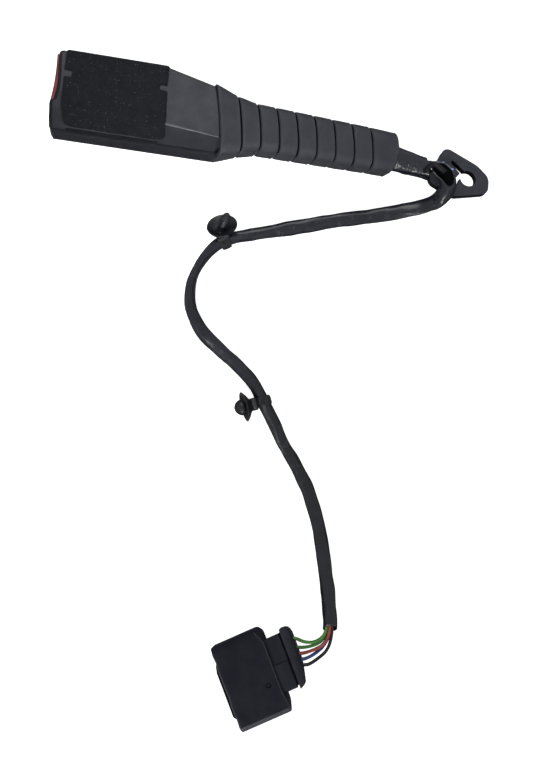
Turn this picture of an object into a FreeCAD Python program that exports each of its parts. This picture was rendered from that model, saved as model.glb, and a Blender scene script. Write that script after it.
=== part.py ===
import FreeCAD, Part
import math
import os

V = FreeCAD.Vector

# Seat belt buckle on a wire rope stalk, with an anchor plate and a wiring harness.
# Lengths are in millimetres. The layout is drawn with x = 0 at the mouth of the head, +X towards
# the anchor, y = 0 on the line of the tongue and z = 0 on the table that everything lies on.
# The routes of the rope, the tube and the wires are measured from the rear end of the head.

# Tongue slot, and half the width of the steel channel behind it
SLOT_WIDTH = 31.0
SLOT_LOW = 4.6
SLOT_HIGH = 9.8
FRAME_SHEET = 2.0
FRAME_HALF = SLOT_WIDTH / 2 + FRAME_SHEET

# Head housing
HEAD_LENGTH = 91.4
HEAD_TOP = 25.0
HEAD_TAIL_TOP = 22.8
PARTING_Z = 13.0
PARTING_GAP = 0.4
WALL = 2.0
SIDE_PLUS = FRAME_HALF + 4.0
SIDE_PLUS_TAIL = SIDE_PLUS - 8.1
SIDE_MINUS = FRAME_HALF + 3.0
SIDE_MINUS_TAIL = SIDE_MINUS - 1.6
FOOT_MINUS = SIDE_MINUS + 1.2
FOOT_MINUS_TAIL = SIDE_MINUS_TAIL + 1.4
CREASE_Y = SIDE_MINUS - 9.9
CREASE_Y_TAIL = SIDE_MINUS_TAIL - 5.5
TAPER_START = HEAD_LENGTH - 28.8
SECTION_END = HEAD_LENGTH + 10.6
CORNER_RADII = [0.0, 3.0, 3.5, 3.0, 3.0]
LEAST_RADIUS = 0.5
FACETS = 3
MOUTH_SCOOP = 3.2
MOUTH_STEP_Y = -7.0
MOUTH_CORNER = 3.0
LIP_HEIGHT = 1.6
LIP_THICKNESS = 1.0

# Slanted plane shared by the end of the head and all rings of the boot
SLANT_Y = 0.22
SLANT_Z = 0.27
SLANT_CENTRE = (-2.2, 12.5)
HEAD_TO_BOOT = 0.8
NECK_INSET = 2.2
NECK_WALL = 2.0
NECK_LENGTH = 8.0
NECK_OPENING_Y = (-10.0, 4.0)
NECK_OPENING_Z = (4.6, 16.2)

# Felt pad
FELT_THICKNESS = 0.9
FELT_FRONT = 5.0
FELT_REAR = TAPER_START + 0.4
FELT_LOW_Z = 15.0
FELT_NOTCH = 5.0
FELT_SIDE = SIDE_MINUS - 2.3

# Front wall and button
FRONT_WALL = 2.4
BUTTON_FRONT = -1.1
BUTTON_DEPTH = 10.4
BUTTON_DISH = 1.7
BUTTON_DISH_Y = 5.5
BUTTON_DISH_RADIUS = 117.0
BUTTON_LOW = 11.8
RUNNING_GAP = 0.35
ARM_END = 30.0
ARM_INNER = FRAME_HALF - 5.5
ARM_OUTER = ARM_INNER + 2.8
ARM_LOW = 12.8
ARM_HIGH = 15.6

# Steel channel frame
FRAME_FRONT = 5.5
FRAME_REAR = HEAD_LENGTH - 25.4
FRAME_LOW = WALL + 0.3
FRAME_WALL_TOP = 12.4
FRAME_TAIL_HALF = 7.5
FRAME_TAIL_END = FRAME_REAR + 16.5
SPRING_TAB_X = FRAME_REAR

# Latch, ejector, lock slider
PIVOT_X = FRAME_REAR - 6.0
PIVOT_Z = 10.0
PIVOT_RADIUS = 1.5
PIVOT_GAP = 0.06
LATCH_SHEET = 2.0
LATCH_HALF = FRAME_HALF - 6.5
LATCH_FRONT = 19.4
LATCH_TOOTH = 4.6
LATCH_TOOTH_DEPTH = 2.5
LATCH_REST_TILT = 3.0
EJECTOR_FRONT = 26.0
EJECTOR_LENGTH = 18.0
EJECTOR_HALF = FRAME_HALF - 8.5
EJECTOR_LOW = 4.7
EJECTOR_HIGH = 7.5
LOCK_FRONT = 22.0
LOCK_LENGTH = 12.0
LOCK_LOW = 14.4
LOCK_SHEET = 2.0
SPRING_WIRE = 0.6
SPRING_RADIUS = 1.45
SPRING_TURNS = 5
SPRING_SIDES = 6
BUTTON_SPRING_END = 42.0
LEAF_SHEET = 0.5
LEAF_SEAT = 17.8
LEAF_END = PIVOT_X + 13.5

# Buckle switch
SWITCH_FRONT = 30.0
SWITCH_REAR = PIVOT_X - 2.0
SWITCH_OUTER = FRAME_SHEET - FRAME_HALF + 0.15
SWITCH_INNER = SWITCH_OUTER + 4.15
SWITCH_HIGH = 8.8
SWITCH_GROOVE = 2.7
STRIP = 0.4
CONTACT_X = EJECTOR_FRONT + 8.5
CONTACT_LENGTH = 3.0

# Wire rope, ferrule, sleeve and lead
ROPE_RADIUS = 2.3
ROPE_HALF_PITCH = 2.45
ROPE_FIT = 0.05
FERRULE_FRONT = FRAME_REAR + 5.0
FERRULE_REAR = FERRULE_FRONT + 11.0
FERRULE_HALF = 6.5
FERRULE_HEIGHT = 12.2
LEAD_RADIUS = 1.6
SLEEVE_WIDTH = 14.2
SLEEVE_HEIGHT = 11.2
SLEEVE_WALL = 0.6
SLEEVE_LINE = [(92.6, -3.5, 10.0), (107.6, -5.0, 9.8), (116.6, -6.2, 9.6), (122.9, -7.2, 9.4)]
ROPE_LINE = [(-18.4, -1.0, 10.5), (98.6, -2.5, 9.9), (113.6, -4.4, 9.6), (125.4, -5.9, 9.35)]
LEAD_LINE = [
    (-33.38, SWITCH_OUTER + 2.15, 6.7),
    (-25.4, SWITCH_OUTER + 2.15, 6.7),
    (-16.4, -11.6, 8.6),
    (-6.4, -9.8, 10.6),
    (5.6, -6.2, 11.0),
    (38.6, -6.4, 10.6),
    (98.6, -7.3, 10.1),
    (113.6, -8.9, 10.0),
    (123.2, -10.1, 10.1),
    (125.2, -9.9, 15.6),
    (127.0, -6.9, 19.4),
    (131.8, -8.75, 20.4),
    (135.0, -11.15, 20.25),
]

# Boot: front lip, then the length of each ring
BOOT_FRONT = HEAD_LENGTH + HEAD_TO_BOOT
BOOT_FIRST = 12.7
BOOT_SECOND = 11.4
BOOT_PITCH = 10.8
BOOT_MIDDLE_RINGS = 6
BOOT_LAST = 15.5
BOOT_GROOVE = 0.9
BOOT_GROOVE_DEPTH = 1.2
BOOT_CHAMFER = 0.6
BOOT_WALL = 3.0
BOOT_CORNER = 5.2
BOOT_FLOOR_GAP = 0.15
BOOT_FRONT_WIDTH = SIDE_PLUS_TAIL + SIDE_MINUS_TAIL + 7.5
BOOT_WIDTHS = [BOOT_FRONT_WIDTH, BOOT_FRONT_WIDTH - 8.4, 26.6, 23.6, 22.8]
BOOT_HEIGHTS = [24.6, 22.2, 20.6, 19.4, 19.0]
BOOT_CENTRES = [-2.2, -2.3, -1.9, -2.9, -3.4]

# Anchor plate, in its own plane: u along the plate, v across it
PLATE_YAW = -34.0
PLATE_ROLL = 18.5
PLATE_SHEET = 3.5
BAR_CENTRE = V(HEAD_LENGTH + 131.9, -7.8, 8.4)
BAR_U = -12.3
BAR_V = -8.6
BIGHT_RADIUS = 5.85
BIGHT_YAW = -24.0
BOLT_U = 4.0
BOLT_V = 1.6
BOLT_HOLE_RADIUS = 4.9
PLATE_OUTLINE = [
    (-18.6, 6.9, 4.5),
    (3.0, 12.7, 12.0),
    (12.8, 12.0, 7.0),
    (18.6, 3.4, 5.0),
    (5.2, -14.0, 6.0),
    (-12.4, -18.6, 4.5),
]
KEYHOLE_OUTLINE = [
    (-9.9, 3.6, 1.2),
    (-0.6, 3.6, 0.3),
    (0.5, -1.6, 0.4),
    (2.4, -6.9, 1.2),
    (-2.2, -6.9, 1.2),
    (-1.4, -1.0, 0.6),
    (-9.9, 0.3, 1.2),
]
ROPE_SLOT = [
    (-10.0, -5.2, 1.2),
    (-3.8, -5.2, 1.2),
    (-3.8, -11.9, 1.2),
    (-10.0, -11.9, 1.2),
]

# Harness tube and its route along the table
CORD_SIDES = 8
TUBE_RADIUS = 3.65
TUBE_WALL = 0.75
TUBE_OPEN_LENGTH = 13.0
TUBE_ROUTE = [
    (130.2, -7.6, 20.4),
    (136.4, -12.2, 20.2),
    (138.8, -19.6, 18.3),
    (135.2, -25.6, 13.2),
    (127.6, -29.2, 7.6),
    (115.6, -33.2, 4.6),
    (98.9, -38.8, 3.9),
    (81.8, -43.5, 3.9),
    (64.9, -49.3, 3.9),
    (48.1, -55.0, 3.9),
    (33.2, -60.0, 3.9),
    (23.2, -65.4, 5.1),
    (10.2, -73.6, 5.1),
    (3.2, -84.6, 3.9),
    (0.4, -98.0, 3.9),
    (4.0, -111.0, 3.9),
    (11.8, -121.3, 3.9),
    (23.2, -129.6, 3.9),
    (35.6, -137.2, 4.2),
    (45.2, -144.6, 5.6),
    (50.8, -151.0, 6.6),
    (57.2, -163.8, 6.4),
    (65.2, -174.6, 4.6),
    (76.0, -186.0, 3.9),
    (85.2, -197.9, 3.9),
    (92.2, -209.6, 3.9),
    (98.2, -223.4, 3.9),
    (103.2, -238.6, 3.9),
    (107.9, -254.0, 3.9),
    (111.8, -268.0, 3.9),
    (114.4, -281.4, 3.9),
]

# Push-in clips: the run of the tube that each sits on, its share of that run and its stem's rise
CLIPS = {"clip_1": (11, 0.45, 47.0), "clip_2": (20, 0.45, 14.0)}
TIE_WIDTH = 5.6
TIE_SHEET = 1.1
TIE_GAP = 0.1
CLIP_BLOCK_LOW = 5.0
CLIP_BLOCK_HIGH = 8.4
CLIP_SAUCER_RADIUS = 8.8
CLIP_SAUCER_RISE = 3.2
CLIP_SAUCER_SHEET = 0.9
CLIP_STEM_RADIUS = 2.6
CLIP_HEAD_RADIUS = 4.4
CLIP_HEAD_CENTRE = 13.0
CLIP_SIDES = 20

# Connector, in its own axes: r backwards along the wires, w across, z up
CONNECTOR_ORIGIN = V(HEAD_LENGTH + 85.0, -304.0, 0.0)
CONNECTOR_YAW = 33.0
CONNECTOR_WIDTH = 50.4
CONNECTOR_MOUTH_WIDTH = 52.4
CONNECTOR_DEPTH = 29.5
CONNECTOR_HEIGHT = 21.0
CONNECTOR_CORNER = 5.0
CONNECTOR_WALL = 2.2
CONNECTOR_CAVITY = 19.0
NECK_WIDTH = 33.4
NECK_DEPTH = 8.8
NECK_LOW = 2.0
NECK_HIGH = 18.6
COVER_WIDTH = 37.6
COVER_REAR_WIDTH = 32.4
COVER_DEPTH = 5.2
COVER_LOW = 1.2
COVER_HIGH = 19.6
PIN_SIZE = 1.5
PIN_PITCH = 6.6
PIN_COUNT = 6
PIN_LENGTH = 11.0
PIN_ROOT = 3.0

# Wires from the open end of the tube to the rear of the connector
WIRE_RADIUS = 0.75
WIRE_SIDES = 6
WIRE_Z = 12.0
WIRE_SOCKET = 3.0
WIRE_SOCKET_GAP = 0.06
WIRE_RING = 1.55
WIRE_TUCK = 9.0
WIRES = {
    "wire_green_1": (-9.3, 4, [(95.0, -287.6, 12.0), (100.6, -289.4, 11.4), (107.8, -288.6, 8.6)]),
    "wire_green_2": (-3.7, 3, [(98.4, -292.4, 12.0), (104.0, -291.4, 10.6), (110.2, -289.0, 6.6)]),
    "wire_red": (0.2, 0, [(100.4, -295.4, 12.0), (105.8, -293.6, 9.8), (112.0, -290.2, 7.0)]),
    "wire_blue": (3.9, 2, [(102.4, -298.2, 12.0), (107.4, -295.8, 8.6), (112.5, -291.4, 5.0)]),
    "wire_black": (7.3, 1, [(104.2, -301.6, 12.0), (109.2, -299.0, 7.8), (115.4, -293.8, 3.3)]),
}


def block(x0, x1, y0, y1, z0, z1):
    return Part.makeBox(x1 - x0, y1 - y0, z1 - z0, V(x0, y0, z0))


def rod(start, end, radius):
    return Part.makeCylinder(radius, (end - start).Length, start, end - start)


def fuse(shapes):
    whole = shapes[0]
    for other in shapes[1:]:
        whole = whole.fuse(other)
    return whole.removeSplitter()


def corner_spots(points, radii, steps):
    """For each corner of an outline, the points that round it off in equal steps."""
    rounds = []
    count = len(points)
    for i in range(count):
        corner = V(points[i][0], points[i][1], 0)
        if radii[i] == 0:
            rounds.append([corner])
            continue
        before = V(points[i - 1][0], points[i - 1][1], 0) - corner
        after = V(points[(i + 1) % count][0], points[(i + 1) % count][1], 0) - corner
        before.normalize()
        after.normalize()
        half = before.getAngle(after) / 2
        centre = corner + (before + after).normalize() * (radii[i] / math.sin(half))
        start = corner + before * (radii[i] / math.tan(half)) - centre
        end = corner + after * (radii[i] / math.tan(half)) - centre
        turn = start.getAngle(end) / steps
        if start.cross(end).z < 0:
            turn = -turn
        spots = []
        for k in range(steps + 1):
            spin = FreeCAD.Rotation(V(0, 0, 1), math.degrees(turn * k))
            spots.append(centre + spin.multVec(start))
        rounds.append(spots)
    return rounds


def rounded_wire(points, radii, place):
    """A closed outline with an arc at each corner; place turns (a, b) into a point in space."""
    edges = []
    rounds = [[place(p.x, p.y) for p in spots] for spots in corner_spots(points, radii, 2)]
    for i, spots in enumerate(rounds):
        if len(spots) > 1:
            edges.append(Part.Arc(*spots).toShape())
        there = rounds[(i + 1) % len(rounds)][0]
        edges.append(Part.LineSegment(spots[-1], there).toShape())
    return Part.Wire(edges)


def rounded_ring(points, radii, place):
    """The same outline as a list of points, with short flats for the arcs."""
    return [place(p.x, p.y) for spots in corner_spots(points, radii, FACETS) for p in spots]


def ring_points(radius, sides):
    angles = [2 * math.pi * (i + 0.5) / sides for i in range(sides)]
    return [(radius * math.cos(a), radius * math.sin(a)) for a in angles]


def flat_face(corners):
    return Part.Face(Part.makePolygon(corners + corners[:1]))


def many_sided(radius, sides, length, start, way):
    """A prism that stands in for a plain round rod."""
    turn = FreeCAD.Rotation(V(0, 0, 1), way)
    corners = [start + turn.multVec(V(a, b, 0)) for a, b in ring_points(radius, sides)]
    return flat_face(corners).extrude(way * (length / way.Length))


def rings_solid(rings):
    """A solid with flat faces through outlines that have equally many points."""
    faces = [flat_face(rings[0]), flat_face(rings[-1])]
    for low, high in zip(rings, rings[1:]):
        count = len(low)
        for i in range(count):
            j = (i + 1) % count
            a, b, c, d = low[i], low[j], high[j], high[i]
            normal = (b - a).cross(c - a).normalize()
            if abs((d - a).dot(normal)) < 1e-6:
                faces.append(flat_face([a, b, c, d]))
            else:
                faces.append(flat_face([a, b, c]))
                faces.append(flat_face([a, c, d]))
    shell = Part.makeShell(faces)
    shell.sewShape()
    solid = Part.makeSolid(shell)
    if solid.Volume < 0:
        solid.reverse()
    return solid


def inset_points(points, inset):
    """The corners of a convex outline, anticlockwise, with every side moved in by inset."""
    count = len(points)
    moved = []
    for i in range(count):
        a = V(points[i - 1][0], points[i - 1][1], 0)
        b = V(points[i][0], points[i][1], 0)
        c = V(points[(i + 1) % count][0], points[(i + 1) % count][1], 0)
        first = (b - a).normalize()
        second = (c - b).normalize()
        inward_first = V(-first.y, first.x, 0)
        inward_second = V(-second.y, second.x, 0)
        bisector = inward_first + inward_second
        shift = bisector * (inset / (1 + inward_first.dot(inward_second)))
        moved.append((b.x + shift.x, b.y + shift.y))
    return moved


def between(low, high, share):
    return low + (high - low) * share


def head_corners(x):
    """Corners (y, z) of the head's section at x: foot, foot, side, crease, parting corner."""
    tail = max(0.0, x - TAPER_START) / (SECTION_END - TAPER_START)
    along = x / SECTION_END
    top = between(HEAD_TOP, HEAD_TAIL_TOP, tail)
    plus = between(SIDE_PLUS, SIDE_PLUS_TAIL, tail)
    crease = -between(CREASE_Y, CREASE_Y_TAIL, tail)
    minus = -between(SIDE_MINUS, SIDE_MINUS_TAIL, along)
    foot = -between(FOOT_MINUS, FOOT_MINUS_TAIL, along)
    return [(minus, PARTING_Z), (foot, 0.0), (plus, 0.0), (plus, top), (crease, top)]


def head_section(x, inset):
    radii = [r - inset if r > 0 and r - inset > LEAST_RADIUS else 0 for r in CORNER_RADII]
    corners = inset_points(head_corners(x), inset)
    return rounded_ring(corners, radii, lambda y, z: V(x, y, z))


def head_form(inset, start=0.0):
    """The head's outer form, or a smaller one inside it."""
    return rings_solid([head_section(x, inset) for x in (start, TAPER_START, SECTION_END)])


def slant_normal():
    normal = V(1, SLANT_Y, -SLANT_Z)
    return normal.normalize()


def behind(x0):
    """Everything on the anchor side of the slanted plane through x0."""
    size = 300.0
    solid = Part.makeBox(size, size, size, V(-size / 2, -size / 2, 0))
    turn = FreeCAD.Rotation(V(0, 0, 1), slant_normal())
    solid.Placement = FreeCAD.Placement(V(x0, *SLANT_CENTRE), turn)
    return solid


def plan_prism(points, low, high):
    """A prism with an outline seen from above; points are (x, y, radius)."""
    wire = rounded_wire([p[:2] for p in points], [p[2] for p in points], lambda x, y: V(x, y, low))
    return Part.Face(wire).extrude(V(0, 0, high - low))


def rope_window():
    return block(HEAD_LENGTH, HEAD_LENGTH + 20, *NECK_OPENING_Y, *NECK_OPENING_Z)


def from_head(points):
    """Points of a route, measured from the rear end of the head, as points of the layout."""
    return [V(HEAD_LENGTH + x, y, z) for x, y, z in points]


def head_shell():
    body = head_form(0.0).cut(behind(HEAD_LENGTH))
    neck = head_form(NECK_INSET).cut(behind(HEAD_LENGTH + NECK_LENGTH))
    room = head_form(WALL, -1.0).cut(behind(HEAD_LENGTH - NECK_INSET - 0.8))
    neck_room = head_form(NECK_INSET + NECK_WALL)
    neck_room = neck_room.cut(behind(HEAD_LENGTH + NECK_LENGTH - NECK_WALL))
    shell = body.fuse(neck).cut(room).cut(neck_room).cut(rope_window())
    return shell


def lip_band(low, high):
    """The thin inner ledge where the two halves meet."""
    outer = head_form(WALL - LIP_THICKNESS).cut(behind(HEAD_LENGTH - 4))
    inner = head_form(WALL, -1.0)
    return outer.cut(inner).common(block(6, HEAD_LENGTH, -40, 40, low, high))


def upper_outline():
    return plan_prism(
        [
            (0.0, MOUTH_STEP_Y - 1.2, 0.7),
            (0.2, -FOOT_MINUS - 0.7, MOUTH_CORNER),
            (2 * HEAD_LENGTH, -FOOT_MINUS - 0.7, 1.0),
            (2 * HEAD_LENGTH, SIDE_PLUS + 0.1, 1.0),
            (MOUTH_SCOOP - 0.8, SIDE_PLUS + 0.1, MOUTH_CORNER - 0.5),
            (MOUTH_SCOOP, 3.0, 20.0),
            (MOUTH_SCOOP + 0.2, MOUTH_STEP_Y + 0.4, 1.0),
        ],
        -5,
        40,
    )


def upper_cover(shell):
    half = shell.common(block(-5, 150, -40, 40, PARTING_Z + PARTING_GAP, 40))
    half = half.common(upper_outline())
    half = half.cut(lip_band(PARTING_Z, PARTING_Z + LIP_HEIGHT))
    ribs = []
    for side in (-1, 1):
        y0, y1 = sorted((side * (ARM_INNER - 0.5), side * (ARM_OUTER + 0.6)))
        rib = block(BUTTON_SPRING_END, BUTTON_SPRING_END + 2, y0, y1, ARM_LOW, HEAD_TOP - WALL / 2)
        ribs.append(rib)
    ribs.append(block(LEAF_END - 5, LEAF_END, -4, 4, LEAF_SEAT, HEAD_TOP - WALL / 2))
    inside = head_form(WALL / 2)
    return fuse([half] + [rib.common(inside) for rib in ribs])


def lower_cover(shell):
    half = shell.common(block(-5, 150, -40, 40, -1, PARTING_Z))
    front = head_form(WALL / 2).common(block(0, FRONT_WALL, -40, 40, 0.5, BUTTON_LOW - RUNNING_GAP))
    lip = lip_band(PARTING_Z - 1.0, PARTING_Z + LIP_HEIGHT)
    outline = plan_prism(
        [
            (0.2, -FOOT_MINUS - 0.7, MOUTH_CORNER),
            (2 * HEAD_LENGTH, -FOOT_MINUS - 0.7, 1.0),
            (2 * HEAD_LENGTH, SIDE_PLUS + 0.1, 1.0),
            (0.2, SIDE_PLUS + 0.1, MOUTH_CORNER),
        ],
        -5,
        40,
    )
    half = fuse([half, front, lip]).common(outline)
    slot = block(-2, FRONT_WALL + 2, -SLOT_WIDTH / 2, SLOT_WIDTH / 2, SLOT_LOW, SLOT_HIGH)
    funnel = funnel_cut()
    posts = []
    for x in (FRAME_FRONT + 6.5, FRAME_REAR - 10.0):
        posts.append(block(x, x + 8, -9, 9, WALL / 2, FRAME_LOW))
    return fuse([half.cut(slot).cut(funnel)] + posts)


def funnel_cut():
    """The flared entry of the tongue slot."""
    wide = SLOT_WIDTH / 2 + 1.2
    narrow = SLOT_WIDTH / 2
    middle = (SLOT_LOW + SLOT_HIGH) / 2
    tall = (SLOT_HIGH - SLOT_LOW) / 2
    rings = []
    for x, half, rise in ((-0.1, wide, tall + 1.0), (1.3, narrow, tall)):
        low, high = middle - rise, middle + rise
        rings.append([V(x, y, z) for y, z in ((-half, low), (half, low), (half, high), (-half, high))])
    return rings_solid(rings)


def felt_pad():
    sheet = head_form(-FELT_THICKNESS).cut(head_form(-0.04, -1.0))
    outline = plan_prism(
        [
            (FELT_FRONT, SIDE_PLUS + 4.5, 1.0),
            (FELT_FRONT + 2.0, -FELT_SIDE, 4.0),
            (FELT_REAR + 3.4, -FELT_SIDE, 5.5),
            (FELT_REAR + 3.6, -8.0, 10.0),
            (FELT_REAR, SIDE_PLUS + 4.5, 1.0),
        ],
        FELT_LOW_Z,
        40,
    )
    pad = sheet.common(outline)
    pad = pad.cut(block(0, FELT_FRONT + FELT_NOTCH, 6.6, 9.8, 20, 40))
    notch = Part.makeCylinder(1.3, 20, V(FELT_REAR - 1.6, 9.2, 20))
    slot = block(FELT_REAR - 1.6, FELT_REAR + 8, 7.9, 10.5, 20, 40)
    return pad.cut(notch).cut(slot)


def release_button():
    form = head_form(WALL + RUNNING_GAP, BUTTON_FRONT)
    rear = BUTTON_FRONT + BUTTON_DEPTH
    body = form.common(block(BUTTON_FRONT, rear, -40, 40, BUTTON_LOW, 40))
    hollow = head_form(WALL + RUNNING_GAP + 1.8, BUTTON_FRONT)
    hollow = hollow.common(block(BUTTON_FRONT + 2.2, rear + 1, -40, 40, BUTTON_LOW + 1.8, 40))
    body = body.cut(hollow)
    parts = [body]
    for side in (-1, 1):
        y0, y1 = sorted((side * ARM_INNER, side * ARM_OUTER))
        parts.append(block(rear - 4, ARM_END, y0, y1, ARM_LOW, ARM_HIGH))
    whole = fuse(parts)
    dish_x = BUTTON_FRONT + BUTTON_DISH - BUTTON_DISH_RADIUS
    dish = Part.makeCylinder(BUTTON_DISH_RADIUS, HEAD_TOP, V(dish_x, BUTTON_DISH_Y, BUTTON_LOW - 1))
    return whole.cut(dish)


def buckle_frame():
    base = block(FRAME_FRONT, FRAME_REAR, -FRAME_HALF, FRAME_HALF, FRAME_LOW, FRAME_LOW + FRAME_SHEET)
    tail = block(
        FRAME_REAR - 1, FRAME_TAIL_END, -FRAME_TAIL_HALF, FRAME_TAIL_HALF, FRAME_LOW, FRAME_LOW + FRAME_SHEET
    )
    parts = [base, tail]
    for side in (-1, 1):
        y0, y1 = sorted((side * (FRAME_HALF - FRAME_SHEET), side * FRAME_HALF))
        wall = plan_side_wall(y0, y1)
        parts.append(wall)
    tab = block(SPRING_TAB_X, SPRING_TAB_X + FRAME_SHEET, -4.5, 4.5, FRAME_LOW, EJECTOR_HIGH)
    parts.append(tab)
    whole = fuse(parts)
    guide = block(EJECTOR_FRONT - 2, SPRING_TAB_X - 6, -1.6, 1.6, FRAME_LOW - 1, FRAME_LOW + FRAME_SHEET + 1)
    bore = rod(V(PIVOT_X, -30, PIVOT_Z), V(PIVOT_X, 30, PIVOT_Z), PIVOT_RADIUS + PIVOT_GAP)
    return whole.cut(guide).cut(bore)


def plan_side_wall(y0, y1):
    """One side wall of the channel, with a sloping front end."""
    points = [
        (FRAME_FRONT + 5, FRAME_LOW),
        (FRAME_REAR, FRAME_LOW),
        (FRAME_REAR, FRAME_WALL_TOP),
        (FRAME_FRONT + 14, FRAME_WALL_TOP),
    ]
    wire = rounded_wire(points, [0.3, 0.3, 2.0, 3.0], lambda x, z: V(x, y0, z))
    return Part.Face(wire).extrude(V(0, y1 - y0, 0))


def latch():
    bottom = PIVOT_Z - LATCH_SHEET / 2
    plate = block(LATCH_FRONT, PIVOT_X + 3, -LATCH_HALF, LATCH_HALF, bottom, bottom + LATCH_SHEET)
    tooth_low = bottom - LATCH_TOOTH_DEPTH
    tooth = block(LATCH_FRONT, LATCH_FRONT + LATCH_TOOTH, -LATCH_HALF + 3, LATCH_HALF - 3, tooth_low, bottom)
    pins = rod(V(PIVOT_X, -FRAME_HALF, PIVOT_Z), V(PIVOT_X, FRAME_HALF, PIVOT_Z), PIVOT_RADIUS)
    half = LATCH_HALF - 5
    gap = block(LATCH_FRONT + 10.6, PIVOT_X - 6, -half, half, bottom - 1, bottom + LATCH_SHEET + 1)
    whole = fuse([plate.cut(gap), tooth, pins])
    whole.rotate(V(PIVOT_X, 0, PIVOT_Z), V(0, 1, 0), LATCH_REST_TILT)
    return whole


def latch_spring():
    """A leaf spring that hangs from the upper cover's boss and lifts the tooth."""
    low = LEAF_SEAT - LEAF_SHEET
    points = [(2.0, 11.5), (6.8, low), (LEAF_END - PIVOT_X, low)]
    points += [(LEAF_END - PIVOT_X, LEAF_SEAT), (6.5, LEAF_SEAT), (1.5, 11.8)]
    wire = Part.makePolygon([V(PIVOT_X + x, -3.0, z) for x, z in points + points[:1]])
    return Part.Face(wire).extrude(V(0, 6.0, 0))


def ejector():
    rear = EJECTOR_FRONT + EJECTOR_LENGTH
    body = block(EJECTOR_FRONT, rear, -EJECTOR_HALF, EJECTOR_HALF, EJECTOR_LOW, EJECTOR_HIGH)
    half = EJECTOR_HALF - 3
    pocket = block(EJECTOR_FRONT + 5, rear - 3, -half, half, EJECTOR_LOW + 1.6, EJECTOR_HIGH + 1)
    key = block(EJECTOR_FRONT + 1, rear - 4, -1.3, 1.3, FRAME_LOW + 0.4, EJECTOR_LOW)
    return fuse([body.cut(pocket), key])


def spring(x0, x1, y, z):
    """A round coil spring along X with square wire."""
    free = x1 - x0 - 2 * SPRING_WIRE
    steps = SPRING_TURNS * SPRING_SIDES
    points = []
    for i in range(steps + 1):
        turn = 2 * math.pi * i / SPRING_SIDES
        points.append(V(SPRING_RADIUS * math.cos(turn), SPRING_RADIUS * math.sin(turn), free * i / steps))
    half = SPRING_WIRE / 2
    corners = [V(SPRING_RADIUS - half, 0, -half), V(SPRING_RADIUS + half, 0, -half)]
    corners += [V(SPRING_RADIUS + half, 0, half), V(SPRING_RADIUS - half, 0, half)]
    section = Part.makePolygon(corners + corners[:1])
    coil = Part.makePolygon(points).makePipeShell([section], True, True, 1)
    ends = []
    for low in (-SPRING_WIRE, free):
        sides = 2 * SPRING_SIDES
        outer = many_sided(SPRING_RADIUS + half, sides, SPRING_WIRE, V(0, 0, low), V(0, 0, 1))
        inner = many_sided(SPRING_RADIUS - half, sides, SPRING_WIRE, V(0, 0, low), V(0, 0, 1))
        ends.append(outer.cut(inner))
    turn = FreeCAD.Rotation(V(0, 0, 1), V(1, 0, 0))
    place = FreeCAD.Placement(V(x0 + SPRING_WIRE, y, z), turn)
    whole = coil.fuse(ends)
    whole.Placement = place
    return whole


def lock_slider():
    half = ARM_INNER - 0.3
    top = LOCK_LOW + LOCK_SHEET
    plate = block(LOCK_FRONT, LOCK_FRONT + LOCK_LENGTH, -half, half, LOCK_LOW, top)
    bar = block(LOCK_FRONT, LOCK_FRONT + 2.5, 3.7 - half, half - 3.7, top, top + 1.8)
    return fuse([plate, bar])


def switch_housing():
    low = FRAME_LOW + FRAME_SHEET
    body = block(SWITCH_FRONT, SWITCH_REAR, SWITCH_OUTER, SWITCH_INNER, low, SWITCH_HIGH)
    bottom = SWITCH_INNER - SWITCH_GROOVE
    groove = block(SWITCH_FRONT + 2, SWITCH_REAR - 2, bottom, SWITCH_INNER + 1, 5.6, 7.8)
    return body.cut(groove)


def switch_contacts():
    back = SWITCH_INNER - SWITCH_GROOVE
    strips = []
    for z in (5.8, 7.0):
        strips.append(block(SWITCH_FRONT + 3, SWITCH_REAR - 3, back, back + STRIP, z, z + 0.6))
    return strips


def contact_slider():
    tip = SWITCH_INNER - SWITCH_GROOVE + STRIP + 0.3
    return block(CONTACT_X, CONTACT_X + CONTACT_LENGTH, tip, -EJECTOR_HALF, 5.9, 7.5)


def rope_ferrule():
    centre, far = from_head(ROPE_LINE[:2])
    low = FRAME_LOW + FRAME_SHEET
    y0 = centre.y - FERRULE_HALF
    y1 = centre.y + FERRULE_HALF
    body = block(FERRULE_FRONT, FERRULE_REAR, y0, y1, low, low + FERRULE_HEIGHT)
    along = [e for e in body.Edges if abs(e.tangentAt(0).x) > 0.9]
    body = body.makeFillet(1.2, [e for e in along if e.CenterOfMass.z > low + 1])
    direction = far - centre
    for side in (-1, 1):
        start = centre + V(0, 0, side * ROPE_HALF_PITCH)
        body = body.cut(Part.makeCylinder(ROPE_RADIUS + ROPE_FIT, 30, start, direction))
    return body


def route_path(points, label, fixed=None, share=0.45):
    """Straight runs joined by tangent arcs, each as large as its two runs allow."""
    fixed = fixed or {}
    edges = []
    here = points[0]
    radii = []
    for i in range(1, len(points) - 1):
        corner = points[i]
        back = points[i - 1] - corner
        ahead = points[i + 1] - corner
        shorter = min(back.Length, ahead.Length)
        turn = math.pi - back.getAngle(ahead)
        radius = fixed.get(i, share * shorter / math.tan(turn / 2))
        reach = radius * math.tan(turn / 2)
        back.normalize()
        ahead.normalize()
        start = corner + back * reach
        end = corner + ahead * reach
        way = (back + ahead).normalize()
        middle = corner + way * (radius / math.cos(turn / 2) - radius)
        edges.append(Part.LineSegment(here, start).toShape())
        edges.append(Part.Arc(start, middle, end).toShape())
        radii.append(round(radius, 1))
        here = end
    edges.append(Part.LineSegment(here, points[-1]).toShape())
    path = Part.Wire(edges)
    print(label, "length", round(path.Length, 1), "radii", radii)
    return path


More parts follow.
